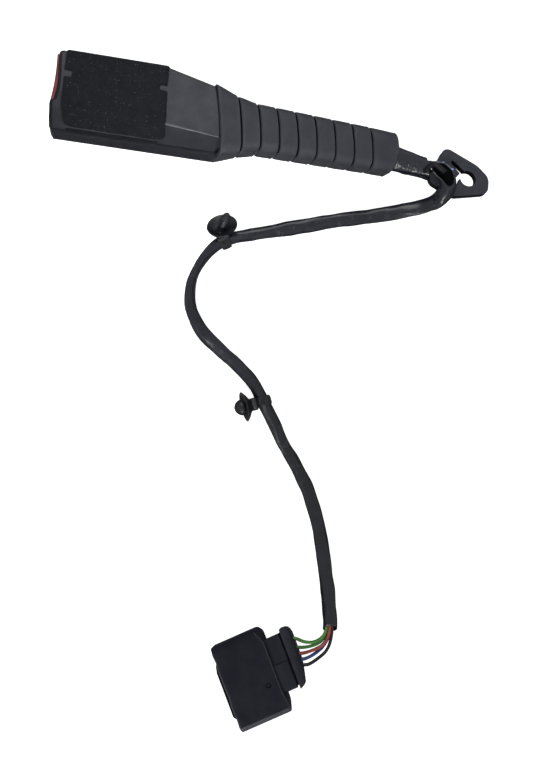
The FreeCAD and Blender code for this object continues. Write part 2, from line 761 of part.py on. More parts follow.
def sweep(path, radius, label, sides=CORD_SIDES):
    """A cord with a many-sided section along a path."""
    first = path.Edges[0]
    start = first.valueAt(first.FirstParameter)
    turn = FreeCAD.Rotation(V(0, 0, 1), first.tangentAt(first.FirstParameter))
    section = flat_face([start + turn.multVec(V(a, b, 0)) for a, b in ring_points(radius, sides)])
    solid = path.makePipe(section)
    print(label, "volume", round(solid.Volume, 1), "area times length", round(section.Area * path.Length, 1))
    return solid


def plate_axes(yaw, roll):
    """The directions along a plate, across it and out of its face."""
    along = V(math.cos(math.radians(yaw)), math.sin(math.radians(yaw)), 0)
    across = V(-along.y * math.cos(math.radians(roll)), along.x * math.cos(math.radians(roll)), 0)
    across.z = -math.sin(math.radians(roll))
    return along, across, along.cross(across)


def anchor_rope():
    along, across, out = plate_axes(BIGHT_YAW, PLATE_ROLL)
    upper = [p + V(0, 0, ROPE_HALF_PITCH) for p in from_head(ROPE_LINE)]
    lower = [p - V(0, 0, ROPE_HALF_PITCH) for p in from_head(ROPE_LINE)]
    far = BAR_CENTRE + along * BIGHT_RADIUS
    bight = [
        BAR_CENTRE - along * 1.0 + out * BIGHT_RADIUS,
        far + out * BIGHT_RADIUS,
        far - out * BIGHT_RADIUS,
        BAR_CENTRE - along * 1.0 - out * BIGHT_RADIUS,
    ]
    points = upper + bight + lower[::-1]
    first = len(upper)
    tight = BIGHT_RADIUS - 0.05
    fixed = {first + 1: tight, first + 2: tight}
    path = route_path(points, "anchor_rope", fixed)
    return sweep(path, ROPE_RADIUS, "anchor_rope")


def sleeve_form(inset):
    """The sleeve's flattened outer form, or a smaller one inside it."""
    rings = []
    for p in from_head(SLEEVE_LINE):
        half = SLEEVE_WIDTH / 2 - inset
        rise = SLEEVE_HEIGHT / 2 - inset
        corners = [(-half, -rise), (half, -rise), (half, rise), (-half, rise)]
        rings.append(rounded_ring(corners, [rise - 0.02] * 4, lambda a, b: p + V(0, a, b)))
    return rings_solid(rings)


def rope_sleeve():
    return sleeve_form(0.0).cut(sleeve_form(SLEEVE_WALL))


def boot_stations():
    stations = [BOOT_FRONT, BOOT_FRONT + BOOT_FIRST, BOOT_FRONT + BOOT_FIRST + BOOT_SECOND]
    for _ in range(BOOT_MIDDLE_RINGS):
        stations.append(stations[-1] + BOOT_PITCH)
    stations.append(stations[-1] + BOOT_LAST)
    return stations


def boot_size(x):
    """Width, height and centre line of the boot at x."""
    stations = boot_stations()
    knots = [stations[0], stations[1], stations[2], stations[-2], stations[-1]]
    x = min(max(x, knots[0]), knots[-1])
    for i in range(len(knots) - 1):
        if x <= knots[i + 1]:
            share = (x - knots[i]) / (knots[i + 1] - knots[i])
            return [between(t[i], t[i + 1], share) for t in (BOOT_WIDTHS, BOOT_HEIGHTS, BOOT_CENTRES)]


def boot_section(x, inset):
    """A rounded rectangle in the slanted plane through x."""
    width, height, centre_y = boot_size(x)
    centre = V(x - SLANT_Y * (centre_y - SLANT_CENTRE[0]), centre_y, height / 2 + BOOT_FLOOR_GAP)
    centre.x += SLANT_Z * (centre.z - SLANT_CENTRE[1])
    half = width / 2 - inset
    rise = height / 2 - inset
    radius = max(1.0, BOOT_CORNER - inset)

    across = V(-SLANT_Y, 1, 0).normalize()
    upward = slant_normal().cross(across)
    half = half / across.y
    rise = rise / upward.z
    corners = [(-half, -rise), (half, -rise), (half, rise), (-half, rise)]
    return rounded_ring(corners, [radius] * 4, lambda a, b: centre + across * a + upward * b)


def boot():
    stations = boot_stations()
    pieces = []
    for i in range(len(stations) - 1):
        low = stations[i] + (BOOT_GROOVE / 2 if i else 0)
        high = stations[i + 1] - (BOOT_GROOVE / 2 if i < len(stations) - 2 else 0)
        rings = [
            boot_section(low, BOOT_CHAMFER),
            boot_section(low + BOOT_CHAMFER, 0),
            boot_section(high - BOOT_CHAMFER, 0),
            boot_section(high, BOOT_CHAMFER),
        ]
        pieces.append(rings_solid(rings))
    core_stations = [stations[0] + 0.5, stations[1], stations[2], stations[-2], stations[-1] - 0.5]
    core = rings_solid([boot_section(x, BOOT_GROOVE_DEPTH) for x in core_stations])
    whole = core.fuse(pieces)
    room_stations = [stations[0] + 4.0, stations[1], stations[2], stations[-2], stations[-1] - BOOT_WALL]
    room = rings_solid([boot_section(x, BOOT_WALL) for x in room_stations])
    neck_room = head_form(NECK_INSET - 0.15).cut(behind(HEAD_LENGTH + NECK_LENGTH + 0.3))
    return whole.cut(room).cut(neck_room).cut(sleeve_form(-0.15))


def anchor_plate():
    along, across, out = plate_axes(PLATE_YAW, PLATE_ROLL)
    origin = BAR_CENTRE - along * BAR_U - across * BAR_V - out * (PLATE_SHEET / 2)

    def place(u, v):
        return origin + along * u + across * v

    def slab(outline):
        wire = rounded_wire([p[:2] for p in outline], [p[2] for p in outline], place)
        return Part.Face(wire).extrude(out * PLATE_SHEET)

    hole = Part.makeCylinder(BOLT_HOLE_RADIUS, PLATE_SHEET, place(BOLT_U, BOLT_V), out)
    return slab(PLATE_OUTLINE).cut(slab(KEYHOLE_OUTLINE)).cut(slab(ROPE_SLOT)).cut(hole)


def harness_tube():
    route = from_head(TUBE_ROUTE)
    solid = sweep(route_path(route, "harness_tube"), TUBE_RADIUS, "harness_tube")
    for end, inner, depth in ((0, 1, 7.0), (-1, -2, TUBE_OPEN_LENGTH - 3.0)):
        tip = route[end]
        way = (route[inner] - tip).normalize()
        bore = Part.makeCylinder(TUBE_RADIUS - TUBE_WALL, depth + 1, tip - way, way)
        solid = solid.cut(bore)
    return solid


def clip_parts(run, share, rise):
    """A push-in clip and its tie band; local Z is the stem, local X the tube."""
    start, end = from_head(TUBE_ROUTE[run:run + 2])
    seat = start + (end - start) * share
    along = (end - start).normalize()
    level = V(along.y, -along.x, 0).normalize()
    upward = along.cross(level)
    if upward.z < 0:
        upward = upward * -1
    angle = math.radians(rise)
    stem = level * math.cos(angle) + upward * math.sin(angle)
    side = stem.cross(along)
    inner = TUBE_RADIUS + TIE_GAP
    start = V(-TIE_WIDTH / 2, 0, 0)
    band = many_sided(inner + TIE_SHEET, CLIP_SIDES, TIE_WIDTH, start, V(1, 0, 0))
    band = band.cut(many_sided(inner, CLIP_SIDES, TIE_WIDTH, start, V(1, 0, 0)))
    reach = TIE_WIDTH / 2 + 0.6
    seat_block = block(-reach, reach, -4.6, 4.6, inner + TIE_SHEET - 0.6, CLIP_BLOCK_HIGH)
    seat_block = seat_block.cut(Part.makeCylinder(inner + TIE_SHEET, 20, V(-10, 0, 0), V(1, 0, 0)))
    seat_block = seat_block.common(block(-20, 20, -20, 20, CLIP_BLOCK_LOW - 1.4, 30))
    body = clip_body().fuse(seat_block)
    matrix = FreeCAD.Matrix(
        along.x, side.x, stem.x, seat.x,
        along.y, side.y, stem.y, seat.y,
        along.z, side.z, stem.z, seat.z,
        0, 0, 0, 1,
    )
    place = FreeCAD.Placement(matrix)
    body.Placement = place
    band.Placement = place
    return body, band


def clip_body():
    low = CLIP_BLOCK_HIGH
    rim = low + CLIP_SAUCER_RISE
    profile = [
        (CLIP_STEM_RADIUS + 1.4, low - 0.2),
        (CLIP_SAUCER_RADIUS, rim - 0.3),
        (CLIP_SAUCER_RADIUS, rim),
        (CLIP_STEM_RADIUS + 0.4, low + CLIP_SAUCER_SHEET),
        (CLIP_STEM_RADIUS, CLIP_HEAD_CENTRE - 1.6),
        (CLIP_HEAD_RADIUS, CLIP_HEAD_CENTRE - 0.9),
        (CLIP_HEAD_RADIUS, CLIP_HEAD_CENTRE + 0.8),
        (CLIP_HEAD_RADIUS * 0.8, CLIP_HEAD_CENTRE + 2.7),
        (CLIP_HEAD_RADIUS * 0.4, CLIP_HEAD_CENTRE + CLIP_HEAD_RADIUS),
    ]
    rings = []
    for radius, z in profile:
        rings.append([V(a, b, z) for a, b in ring_points(radius, CLIP_SIDES)])
    body = rings_solid(rings)
    for side in (-1, 1):
        y0, y1 = sorted((side * 1.5, side * 2.4))
        body = body.cut(block(-6, 6, y0, y1, CLIP_HEAD_CENTRE - 1.4, CLIP_HEAD_CENTRE + 2.4))
    return body


def connector_place():
    turn = FreeCAD.Rotation(V(0, 0, 1), CONNECTOR_YAW)
    return FreeCAD.Placement(CONNECTOR_ORIGIN, turn)


def upright_ring(x, half, low, high, radius):
    corners = [(-half, low), (half, low), (half, high), (-half, high)]
    return rounded_ring(corners, [radius] * 4, lambda y, z: V(x, y, z))


def connector_housing():
    rear = upright_ring(0, CONNECTOR_WIDTH / 2, 0, CONNECTOR_HEIGHT, CONNECTOR_CORNER)
    mouth = upright_ring(-CONNECTOR_DEPTH, CONNECTOR_MOUTH_WIDTH / 2, 0, CONNECTOR_HEIGHT, CONNECTOR_CORNER)
    body = rings_solid([rear, mouth])
    half = CONNECTOR_MOUTH_WIDTH / 2 - CONNECTOR_WALL
    inner_radius = CONNECTOR_CORNER - CONNECTOR_WALL
    high = CONNECTOR_HEIGHT - CONNECTOR_WALL
    mouth = upright_ring(-CONNECTOR_DEPTH - 1, half, CONNECTOR_WALL, high, inner_radius)
    end = upright_ring(CONNECTOR_CAVITY - CONNECTOR_DEPTH, half - 0.8, CONNECTOR_WALL, high, inner_radius)
    body = body.cut(rings_solid([mouth, end]))
    neck = upright_ring(-0.5, NECK_WIDTH / 2, NECK_LOW, NECK_HIGH, 1.2)
    neck = flat_face(neck).extrude(V(NECK_DEPTH + 0.5, 0, 0))
    whole = fuse([body, neck])
    dimple = Part.makeCylinder(1.7, 1.0, V(-6.6, -7.1, CONNECTOR_HEIGHT - 0.6))
    dot = Part.makeSphere(0.8, V(-6.6, -7.1, CONNECTOR_HEIGHT - 0.7))
    whole = whole.cut(dimple).fuse(dot)
    for y, z in pin_places():
        whole = whole.cut(pin(y, z))
    whole.Placement = connector_place()
    return whole


def pin_places():
    places = []
    for row in (-1, 1):
        for i in range(PIN_COUNT):
            places.append(((i - (PIN_COUNT - 1) / 2) * PIN_PITCH, CONNECTOR_HEIGHT / 2 + row * 3.2))
    return places


def pin(y, z):
    wall = CONNECTOR_CAVITY - CONNECTOR_DEPTH
    half = PIN_SIZE / 2
    return block(wall - PIN_LENGTH, wall + PIN_ROOT, y - half, y + half, z - half / 2, z + half / 2)


def connector_terminals():
    pins = [pin(y, z) for y, z in pin_places()]
    group = Part.makeCompound(pins)
    group.Placement = connector_place()
    return group


def connector_rear_cover():
    middle = (COVER_LOW + COVER_HIGH) / 2
    rise = (COVER_HIGH - COVER_LOW) / 2
    rings = []
    for x, width, up in (
        (NECK_DEPTH, COVER_WIDTH, rise),
        (NECK_DEPTH + 0.45 * COVER_DEPTH, COVER_WIDTH, rise),
        (NECK_DEPTH + COVER_DEPTH, COVER_REAR_WIDTH, rise - 1.6),
    ):
        rings.append(upright_ring(x, width / 2, middle - up, middle + up, 1.0))
    body = rings_solid(rings)
    for offset, _, _ in WIRES.values():
        start = V(NECK_DEPTH + COVER_DEPTH - WIRE_SOCKET, -offset, WIRE_Z)
        radius = WIRE_RADIUS + WIRE_SOCKET_GAP
        socket = many_sided(radius, 2 * WIRE_SIDES, WIRE_SOCKET + 1, start, V(1, 0, 0))
        body = body.cut(socket)
    body.Placement = connector_place()
    return body


def wire_points(offset, slot, middle):
    """A wire's route from inside the tube, through its middle points, into the connector."""
    before, tip = from_head(TUBE_ROUTE[-2:])
    way = (tip - before).normalize()
    side = V(way.y, -way.x, 0)
    angle = math.radians(90 + 72 * slot)
    ring = side * (WIRE_RING * math.cos(angle)) + V(0, 0, WIRE_RING * math.sin(angle))
    place = connector_place()
    face = place.multVec(V(NECK_DEPTH + COVER_DEPTH, -offset, WIRE_Z))
    back = place.Rotation.multVec(V(1, 0, 0))
    points = [tip - way * WIRE_TUCK + ring, tip + way * 1.2 + ring]
    points += from_head(middle[::-1])
    points += [face + back * 1.4, face - back * (WIRE_SOCKET - 0.05)]
    return points


def wire(name):
    return sweep(route_path(wire_points(*WIRES[name]), name), WIRE_RADIUS, name, WIRE_SIDES)


def build():
    shell = head_shell()
    arm_y = (ARM_INNER + ARM_OUTER) / 2
    arm_z = (ARM_LOW + ARM_HIGH) / 2
    springs = [spring(ARM_END, BUTTON_SPRING_END, side * arm_y, arm_z) for side in (-1, 1)]
    ejector_z = (EJECTOR_LOW + EJECTOR_HIGH) / 2
    lead = from_head(LEAD_LINE)
    nodes = {
        "upper_cover": upper_cover(shell),
        "lower_cover": lower_cover(shell),
        "felt_pad": felt_pad(),
        "release_button": release_button(),
        "button_springs": Part.makeCompound(springs),
        "buckle_frame": buckle_frame(),
        "latch": latch(),
        "latch_spring": latch_spring(),
        "lock_slider": lock_slider(),
        "ejector": ejector(),
        "ejector_spring": spring(EJECTOR_FRONT + EJECTOR_LENGTH, SPRING_TAB_X, 0, ejector_z),
        "switch_housing": switch_housing(),
        "switch_contacts": Part.makeCompound(switch_contacts()),
        "contact_slider": contact_slider(),
        "rope_ferrule": rope_ferrule(),
        "anchor_rope": anchor_rope(),
        "switch_lead": sweep(route_path(lead, "switch_lead"), LEAD_RADIUS, "switch_lead"),
        "rope_sleeve": rope_sleeve(),
        "boot": boot(),
        "anchor_plate": anchor_plate(),
        "harness_tube": harness_tube(),
        "connector_housing": connector_housing(),
        "connector_terminals": connector_terminals(),
        "connector_rear_cover": connector_rear_cover(),
    }
    for name, numbers in CLIPS.items():
        nodes[name], nodes[name + "_tie"] = clip_parts(*numbers)
    for name in WIRES:
        nodes[name] = wire(name)
    return nodes


CORD_NODES = ("harness_tube", "clip_1", "clip_1_tie", "clip_2", "clip_2_tie")
CORD_NODES += ("connector_housing", "connector_terminals", "connector_rear_cover")
CORD_NODES += tuple(WIRES)


def centre_of_buckle(nodes):
    """The middle, seen from above, of the buckle, stalk and plate without the harness."""
    solids = [shape for name, shape in nodes.items() if name not in CORD_NODES]
    box = Part.makeCompound(solids).optimalBoundingBox(False, False)
    print("buckle box", box)
    return V(box.Center.x, box.Center.y, 0)


def main():
    os.makedirs("parts", exist_ok=True)
    nodes = build()
    middle = centre_of_buckle(nodes)
    print("layout origin to row origin", middle)
    for name, shape in nodes.items():
        moved = shape.copy()
        moved.translate(-middle)
        if not moved.isValid():
            print("not valid:", name)
        moved.exportStep("parts/" + name + ".step")


main()
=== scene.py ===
import math

import bmesh
import bpy
from mathutils import Matrix, Vector, noise
from mathutils.geometry import delaunay_2d_cdt
from mathutils.kdtree import KDTree


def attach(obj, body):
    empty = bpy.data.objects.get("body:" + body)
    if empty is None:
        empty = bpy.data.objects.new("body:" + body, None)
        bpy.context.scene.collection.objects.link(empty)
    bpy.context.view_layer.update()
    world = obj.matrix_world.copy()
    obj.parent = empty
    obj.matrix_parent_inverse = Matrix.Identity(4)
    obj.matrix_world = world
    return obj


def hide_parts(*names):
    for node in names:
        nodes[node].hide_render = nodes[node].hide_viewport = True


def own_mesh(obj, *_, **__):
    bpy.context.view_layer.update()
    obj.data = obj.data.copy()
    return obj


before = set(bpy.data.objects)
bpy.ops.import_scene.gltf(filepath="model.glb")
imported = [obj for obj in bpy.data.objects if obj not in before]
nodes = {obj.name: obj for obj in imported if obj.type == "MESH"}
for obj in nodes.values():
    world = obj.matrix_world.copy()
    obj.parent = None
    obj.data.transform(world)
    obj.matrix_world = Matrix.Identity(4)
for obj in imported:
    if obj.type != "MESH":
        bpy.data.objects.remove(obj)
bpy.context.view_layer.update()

# Lengths below are in the part's own layout, in millimetres. SHIFT takes them to the row frame.
SHIFT = Vector((127.2033, 0.0425, 0.0))


def at(x, y, z):
    return (Vector((x, y, z)) - SHIFT) / 1000


# Helpers


def link(name, data):
    obj = bpy.data.objects.new(name, data)
    bpy.context.scene.collection.objects.link(obj)
    return obj


def shade(obj, angle=38):
    mesh = obj.data
    mesh.polygons.foreach_set("use_smooth", [True] * len(mesh.polygons))
    mesh.set_sharp_from_angle(angle=math.radians(angle))


def bake(obj):
    """Applies the object's modifiers."""
    graph = bpy.context.evaluated_depsgraph_get()
    baked = bpy.data.meshes.new_from_object(obj.evaluated_get(graph))
    obj.modifiers.clear()
    obj.data = baked


def bevel(obj, width, segments=2, angle=35):
    mod = obj.modifiers.new("edge", "BEVEL")
    mod.width = width / 1000
    mod.segments = segments
    mod.limit_method = "ANGLE"
    mod.angle_limit = math.radians(angle)
    bake(obj)


def recalc(mesh):
    """Joins points that coincide and turns all faces outwards."""
    bm = bmesh.new()
    bm.from_mesh(mesh)
    bmesh.ops.remove_doubles(bm, verts=bm.verts, dist=1e-6)
    bmesh.ops.recalc_face_normals(bm, faces=bm.faces)
    bm.to_mesh(mesh)
    bm.free()


def loose(name, form):
    """A mesh object from (points, faces) in layout millimetres."""
    points, faces = form
    mesh = bpy.data.meshes.new(name)
    mesh.from_pydata([tuple(at(*p)) for p in points], [], faces)
    recalc(mesh)
    return link(name, mesh)


def piece(name, form, material, node=None, angle=38, edge=0.0, body="buckle"):
    """A finished piece of the object, in place of a CAD node where one is named."""
    obj = loose(name, form)
    if edge:
        bevel(obj, edge)
    shade(obj, angle)
    obj.data.materials.append(M[material])
    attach(obj, body)
    if node:
        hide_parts(node)
    return obj


def paint(obj, material, test):
    """Gives a material to the faces whose centre, in layout millimetres, and normal pass the test."""
    obj.data.materials.append(M[material])
    for face in obj.data.polygons:
        if test((face.center - at(0, 0, 0)) * 1000, face.normal):
            face.material_index = len(obj.data.materials) - 1


def carve(obj, form):
    """Takes a form of (points, faces) out of an object."""
    cutter = loose("cutter", form)
    cut = obj.modifiers.new("cut", "BOOLEAN")
    cut.object = cutter
    cut.solver = "EXACT"
    bake(obj)
    bpy.data.objects.remove(cutter)


def thick_sheet(outer, inner, closed=False):
    """Points and faces between two grids of rings; closed joins each ring's ends."""
    rows = len(outer)
    count = len(outer[0])
    points = [p for ring in outer for p in ring] + [p for ring in inner for p in ring]
    base = rows * count
    faces = []
    last = count if closed else count - 1
    for r in range(rows - 1):
        for i in range(last):
            j = (i + 1) % count
            a, b, c, d = r * count + i, r * count + j, (r + 1) * count + j, (r + 1) * count + i
            faces.append((a, b, c, d))
            faces.append((base + d, base + c, base + b, base + a))
    for r in (0, rows - 1):
        for i in range(last):
            j = (i + 1) % count
            faces.append((r * count + i, r * count + j, base + r * count + j, base + r * count + i))
    if not closed:
        for i in (0, count - 1):
            for r in range(rows - 1):
                a, b = r * count + i, (r + 1) * count + i
                faces.append((a, b, base + b, base + a))
    return points, faces


def tube_rings(rings):
    """Points and faces of a closed skin through rings, with flat ends."""
    count = len(rings[0])
    points = [p for ring in rings for p in ring]
    faces = [tuple(range(count)), tuple(range(len(points) - count, len(points)))]
    for r in range(len(rings) - 1):
        for i in range(count):
            j = (i + 1) % count
            faces.append((r * count + i, r * count + j, (r + 1) * count + j, (r + 1) * count + i))
    return points, faces


SQUARE = ((-1, -1), (1, -1), (1, 1), (-1, 1))
BOX_FACES = ((3, 2, 1, 0), (4, 5, 6, 7), (0, 1, 5, 4), (1, 2, 6, 5), (2, 3, 7, 6), (3, 0, 4, 7))


def turns(count):
    """The angles of a circle's points."""
    return [2 * math.pi * k / count for k in range(count)]


def between(low, high, share):
    return low + (high - low) * share


def ease(low, high, value):
    share = min(1.0, max(0.0, (value - low) / (high - low)))
    return share * share * (3 - 2 * share)


def table(rows, x):
    """Straight-line values between rows of (x, value, ...)."""
    if x <= rows[0][0]:
        return rows[0][1:]
    for a, b in zip(rows, rows[1:]):
        if x <= b[0]:
            share = (x - a[0]) / (b[0] - a[0])
            return [between(p, q, share) for p, q in zip(a[1:], b[1:])]
    return rows[-1][1:]


def round_corner(before, corner, after, radius, steps):
    """Points of the arc that rounds off a 2D corner."""
    back = (before - corner).normalized()
    ahead = (after - corner).normalized()
    half = back.angle(ahead) / 2
    centre = corner + (back + ahead).normalized() * (radius / math.sin(half))
    start = corner + back * (radius / math.tan(half)) - centre
    end = corner + ahead * (radius / math.tan(half)) - centre
    turn = start.angle_signed(end)
    return [centre + Matrix.Rotation(-turn * k / steps, 2) @ start for k in range(steps + 1)]


def rounded(corners, steps=8):
    """A closed 2D outline from (a, b, radius) corners."""
    spots = []
    for i, (a, b, radius) in enumerate(corners):
        here = Vector((a, b))
        before = Vector(corners[i - 1][:2])
        after = Vector(corners[(i + 1) % len(corners)][:2])
        spots += round_corner(before, here, after, radius, steps)
    return spots


def filled(loop, parts):
    """An outline with 8 steps to a corner, with its straight sides cut into parts."""
    ring = []
    for i, p in enumerate(loop):
        ring.append(p)
        if i % 9 == 8:
            q = loop[(i + 1) % len(loop)]
            ring += [p + (q - p) * (k / parts) for k in range(1, parts)]
    return ring


# Materials


def linear(code):
    rgb = [int(code[i:i + 2], 16) / 255 for i in (1, 3, 5)]
    return [c / 12.92 if c <= 0.04045 else ((c + 0.055) / 1.055) ** 2.4 for c in rgb] + [1.0]


def add(tree, kind, settings=None, links=None):
    """One shader node with its settings and links; a number as key is an input's index."""
    node = tree.nodes.new("ShaderNode" + kind)
    for key, value in (settings or {}).items():
        if isinstance(key, int) or key in node.inputs:
            node.inputs[key].default_value = value
        else:
            setattr(node, key, value)
    for key, socket in (links or {}).items():
        tree.links.new(socket, node.inputs[key])
    return node


def mix(tree, factor, a, b):
    """A colour between a and b; each is a colour code or a socket."""
    node = add(tree, "Mix", {"data_type": "RGBA"}, {0: factor})
    for index, value in ((6, a), (7, b)):
        if isinstance(value, str):
            node.inputs[index].default_value = linear(value)
        else:
            tree.links.new(value, node.inputs[index])
    return node.outputs[2]


def spread(tree, socket, low, high, to_low, to_high):
    settings = {"From Min": low, "From Max": high, "To Min": to_low, "To Max": to_high}
    return add(tree, "MapRange", settings, {"Value": socket}).outputs["Result"]


M = {}


def surface(key, name, base, second, rough, patch=9.0, grain=0.3, depth=0.01,
            metallic=0.0, sheen=0.0, specular=0.16, wear_and_highlight=None, extra=None):
    """A material with patches of two colours, a fine grain, uneven gloss and paler edges from wear; on the
    tube the paler edge along the mouth's rim is a painted highlight.
    Patch, grain and depth are in millimetres."""
    material = bpy.data.materials.new(name)
    material.use_nodes = True
    tree = material.node_tree
    shader = tree.nodes["Principled BSDF"]
    shader.inputs["Metallic"].default_value = metallic
    shader.inputs["Sheen Weight"].default_value = sheen
    shader.inputs["Specular IOR Level"].default_value = specular
    place = add(tree, "TexCoord").outputs["Object"]
    settings = {"Scale": 1000 / patch, "Detail": 4.0, "Roughness": 0.6}
    patches = add(tree, "TexNoise", settings, {"Vector": place})
    settings = {"Scale": 1000 / grain, "Detail": 3.0, "Roughness": 0.55}
    grains = add(tree, "TexNoise", settings, {"Vector": place})
    share = spread(tree, patches.outputs[0], 0.35, 0.65, 0.0, 1.0)
    colour = mix(tree, share, base, second)
    fine = spread(tree, grains.outputs[0], 0.3, 0.7, 0.0, 0.22)
    colour = mix(tree, fine, colour, second)
    if wear_and_highlight:
        edge = add(tree, "NewGeometry").outputs["Pointiness"]
        colour = mix(tree, spread(tree, edge, 0.515, 0.6, 0.0, 0.6), colour, wear_and_highlight)
    height = grains.outputs[0]
    if extra:
        colour, height = extra(tree, place, colour, height)
    gloss = spread(tree, patches.outputs[0], 0.3, 0.7, rough[0], rough[1])
    bump = add(tree, "Bump", {"Strength": 0.8, "Distance": depth / 1000}, {"Height": height})
    tree.links.new(colour, shader.inputs["Base Color"])
    tree.links.new(gloss, shader.inputs["Roughness"])
    tree.links.new(bump.outputs[0], shader.inputs["Normal"])
    M[key] = material


def felt_fibres(tree, place, colour, height):
    """Short fibres in two directions and light specks of lint."""
    total = height
    for scale in ((900, 5200, 5200), (5200, 900, 5200)):
        way = add(tree, "Mapping", {"Scale": scale}, {"Vector": place}).outputs["Vector"]
        fibre = add(tree, "TexNoise", {"Scale": 1.0, "Detail": 2.0, "Distortion": 1.6}, {"Vector": way})
        total = add(tree, "Math", {"operation": "MAXIMUM"}, {0: total, 1: fibre.outputs[0]}).outputs[0]
        share = spread(tree, fibre.outputs[0], 0.5, 0.8, 0.0, 0.55)
        colour = mix(tree, share, colour, "#33353a")
    cells = add(tree, "TexVoronoi", {"Scale": 900.0}, {"Vector": place})
    near = spread(tree, cells.outputs["Distance"], 0.12, 0.22, 1.0, 0.0)
    parts = add(tree, "SeparateColor", None, {"Color": cells.outputs["Color"]})
    rare = spread(tree, parts.outputs[0], 0.6, 1.0, 0.0, 0.6)
    speck = add(tree, "Math", {"operation": "MULTIPLY"}, {0: near, 1: rare}).outputs[0]
    return mix(tree, speck, colour, "#7c7e82"), total


def brushed(tree, place, colour, height):
    """Fine lines along the part, as on rolled steel."""
    way = add(tree, "Mapping", {"Scale": (120, 4000, 4000)}, {"Vector": place}).outputs["Vector"]
    lines = add(tree, "TexNoise", {"Scale": 1.0, "Detail": 2.0}, {"Vector": way}).outputs[0]
    return mix(tree, spread(tree, lines, 0.35, 0.65, 0.0, 0.35), colour, "#d8d8d4"), lines


# Injection moulded plastics: nearly matt, with soft patches of gloss and paler edges from wear. Some darker
# copies carry painted shade and some paler ones painted highlights
surface("housing", "moulded ABS charcoal", "#3a3b40", "#424348", (0.36, 0.44), grain=0.35, depth=0.012,
        specular=0.1, wear_and_highlight="#55565b")
surface("housing_low", "moulded ABS dark", "#26272c", "#2d2e33", (0.38, 0.46), grain=0.35, depth=0.012,
        specular=0.03, wear_and_highlight="#3c3d41")
# painted shade: a darker copy of the charcoal ABS for shaded faces of the head, and a near-black one for the
# shaded strip by the parting line, the front rim and the cap's notches
surface("slope", "moulded ABS shaded", "#2e2f34", "#35363b", (0.36, 0.44), 12, 0.35, 0.012, specular=0.08)
surface("rim", "moulded ABS near black painted shade", "#131519", "#1b1d21", (0.3, 0.4), specular=0.1, wear_and_highlight="#3a3c41")
# painted highlight: a pale copy of the charcoal ABS for the light line along the tail's crease
surface("shine", "moulded ABS painted highlight", "#7d7f84", "#5a5c61", (0.3, 0.4), 12, specular=0.1)
surface("button", "moulded ABS brick red", "#703034", "#5f292d", (0.42, 0.52), wear_and_highlight="#a85a54")
surface("clip", "moulded nylon black", "#111217", "#1a1b20", (0.3, 0.42), 4, specular=0.25, wear_and_highlight="#303136")
surface("connector", "moulded PBT black", "#1f222a", "#272a31", (0.46, 0.58), 10, 0.3, 0.02, specular=0.05,
        wear_and_highlight="#3d4046")
surface("cover", "moulded PBT grey", "#26282f", "#303239", (0.46, 0.58), 6, 0.3, 0.02, specular=0.05,
        wear_and_highlight="#4c4e54")
# painted highlight: a pale copy of the black PBT for the connector's rounded top edges
surface("connector_painted_highlight", "moulded PBT painted highlight", "#4b4c51", "#424348", (0.4, 0.5), 12, specular=0.1)
surface("white", "moulded acetal natural", "#a9a89e", "#b5b4aa", (0.45, 0.55))
surface("boot", "moulded TPE charcoal", "#36383d", "#3d3f44", (0.42, 0.52), patch=12, grain=0.28,
        depth=0.014, specular=0.08, wear_and_highlight="#4f5156")
surface("groove", "moulded plastic in shadow", "#0b0c0f", "#101114", (0.6, 0.7), specular=0.02)
# Needled felt: no gloss, crossed fibres and pale lint
surface("felt", "needled polyester felt", "#16181c", "#1d1f23", (0.93, 1.0), 6.0, 0.3, 0.12, sheen=0.06,
        specular=0.05, extra=felt_fibres)
# Shrunk and extruded vinyls: glossier, with slow dents that break up the shine
surface("sleeve", "shrunk polyolefin black", "#0b0e16", "#141926", (0.16, 0.28), 3.5, 0.9, 0.05,
        specular=0.4)
# the tube's paler edges paint a highlight along the rim of its mouth
surface("tube", "extruded PVC black", "#161920", "#1f222a", (0.2, 0.3), 7, 1.6, 0.05, specular=0.26,
        wear_and_highlight="#2c2f36")
surface("lead", "extruded PVC lead jacket", "#101115", "#18191d", (0.5, 0.62), depth=0.02)
# pale blue flecks for the marks on the rim of the tube's mouth
surface("fleck", "pale blue fleck", "#7f93c8", "#8fb0d8", (0.5, 0.6), 1, 0.2, 0.02)
for key, base, second in (
    ("green", "#4f8a3c", "#62a04c"), ("green_2", "#3f7038", "#528a46"), ("red", "#96403c", "#b25a52"),
    ("blue", "#26406e", "#3d66a0"), ("black", "#101116", "#1c1d22"),
):
    surface(key, "extruded PVC wire " + key, base, second, (0.3, 0.4), 4, specular=0.3)
# Powder coated steel: an even satin skin with a fine orange peel; the sheared sides carry painted shade and
# their rounded edges a painted highlight
surface("plate", "powder coated steel", "#3d4046", "#474a51", (0.44, 0.56), patch=5, grain=0.22, depth=0.03,
        specular=0.07)
surface("plate_side_painted_shade", "powder coated steel painted shade", "#15161a", "#1d1f23", (0.5, 0.6), 5, 0.22, 0.03,
        specular=0.05)
surface("plate_edge_painted_highlight", "powder coated steel painted highlight", "#5f6268", "#50535a", (0.4, 0.5), 5, 0.22, 0.03,
        specular=0.1)
# Bare metals: rolled lines on the sheet, a plain sheen on wire and strip
surface("steel", "rolled steel zinc plated", "#8d8d8c", "#a2a2a0", (0.3, 0.42), depth=0.006,
        metallic=1.0, extra=brushed)
surface("spring", "drawn spring steel", "#a6a6a6", "#8a8a8a", (0.22, 0.32), grain=0.2, depth=0.004,
        metallic=1.0)
# the rope is coloured near black
surface("rope", "stranded steel wire near black", "#1c1d21", "#2b2c31", (0.3, 0.45), 2, 0.3, 0.02, metallic=0.4)
surface("brass", "stamped brass", "#b58a4a", "#a67b3e", (0.3, 0.42), patch=2, grain=0.2, depth=0.005,
        metallic=1.0)

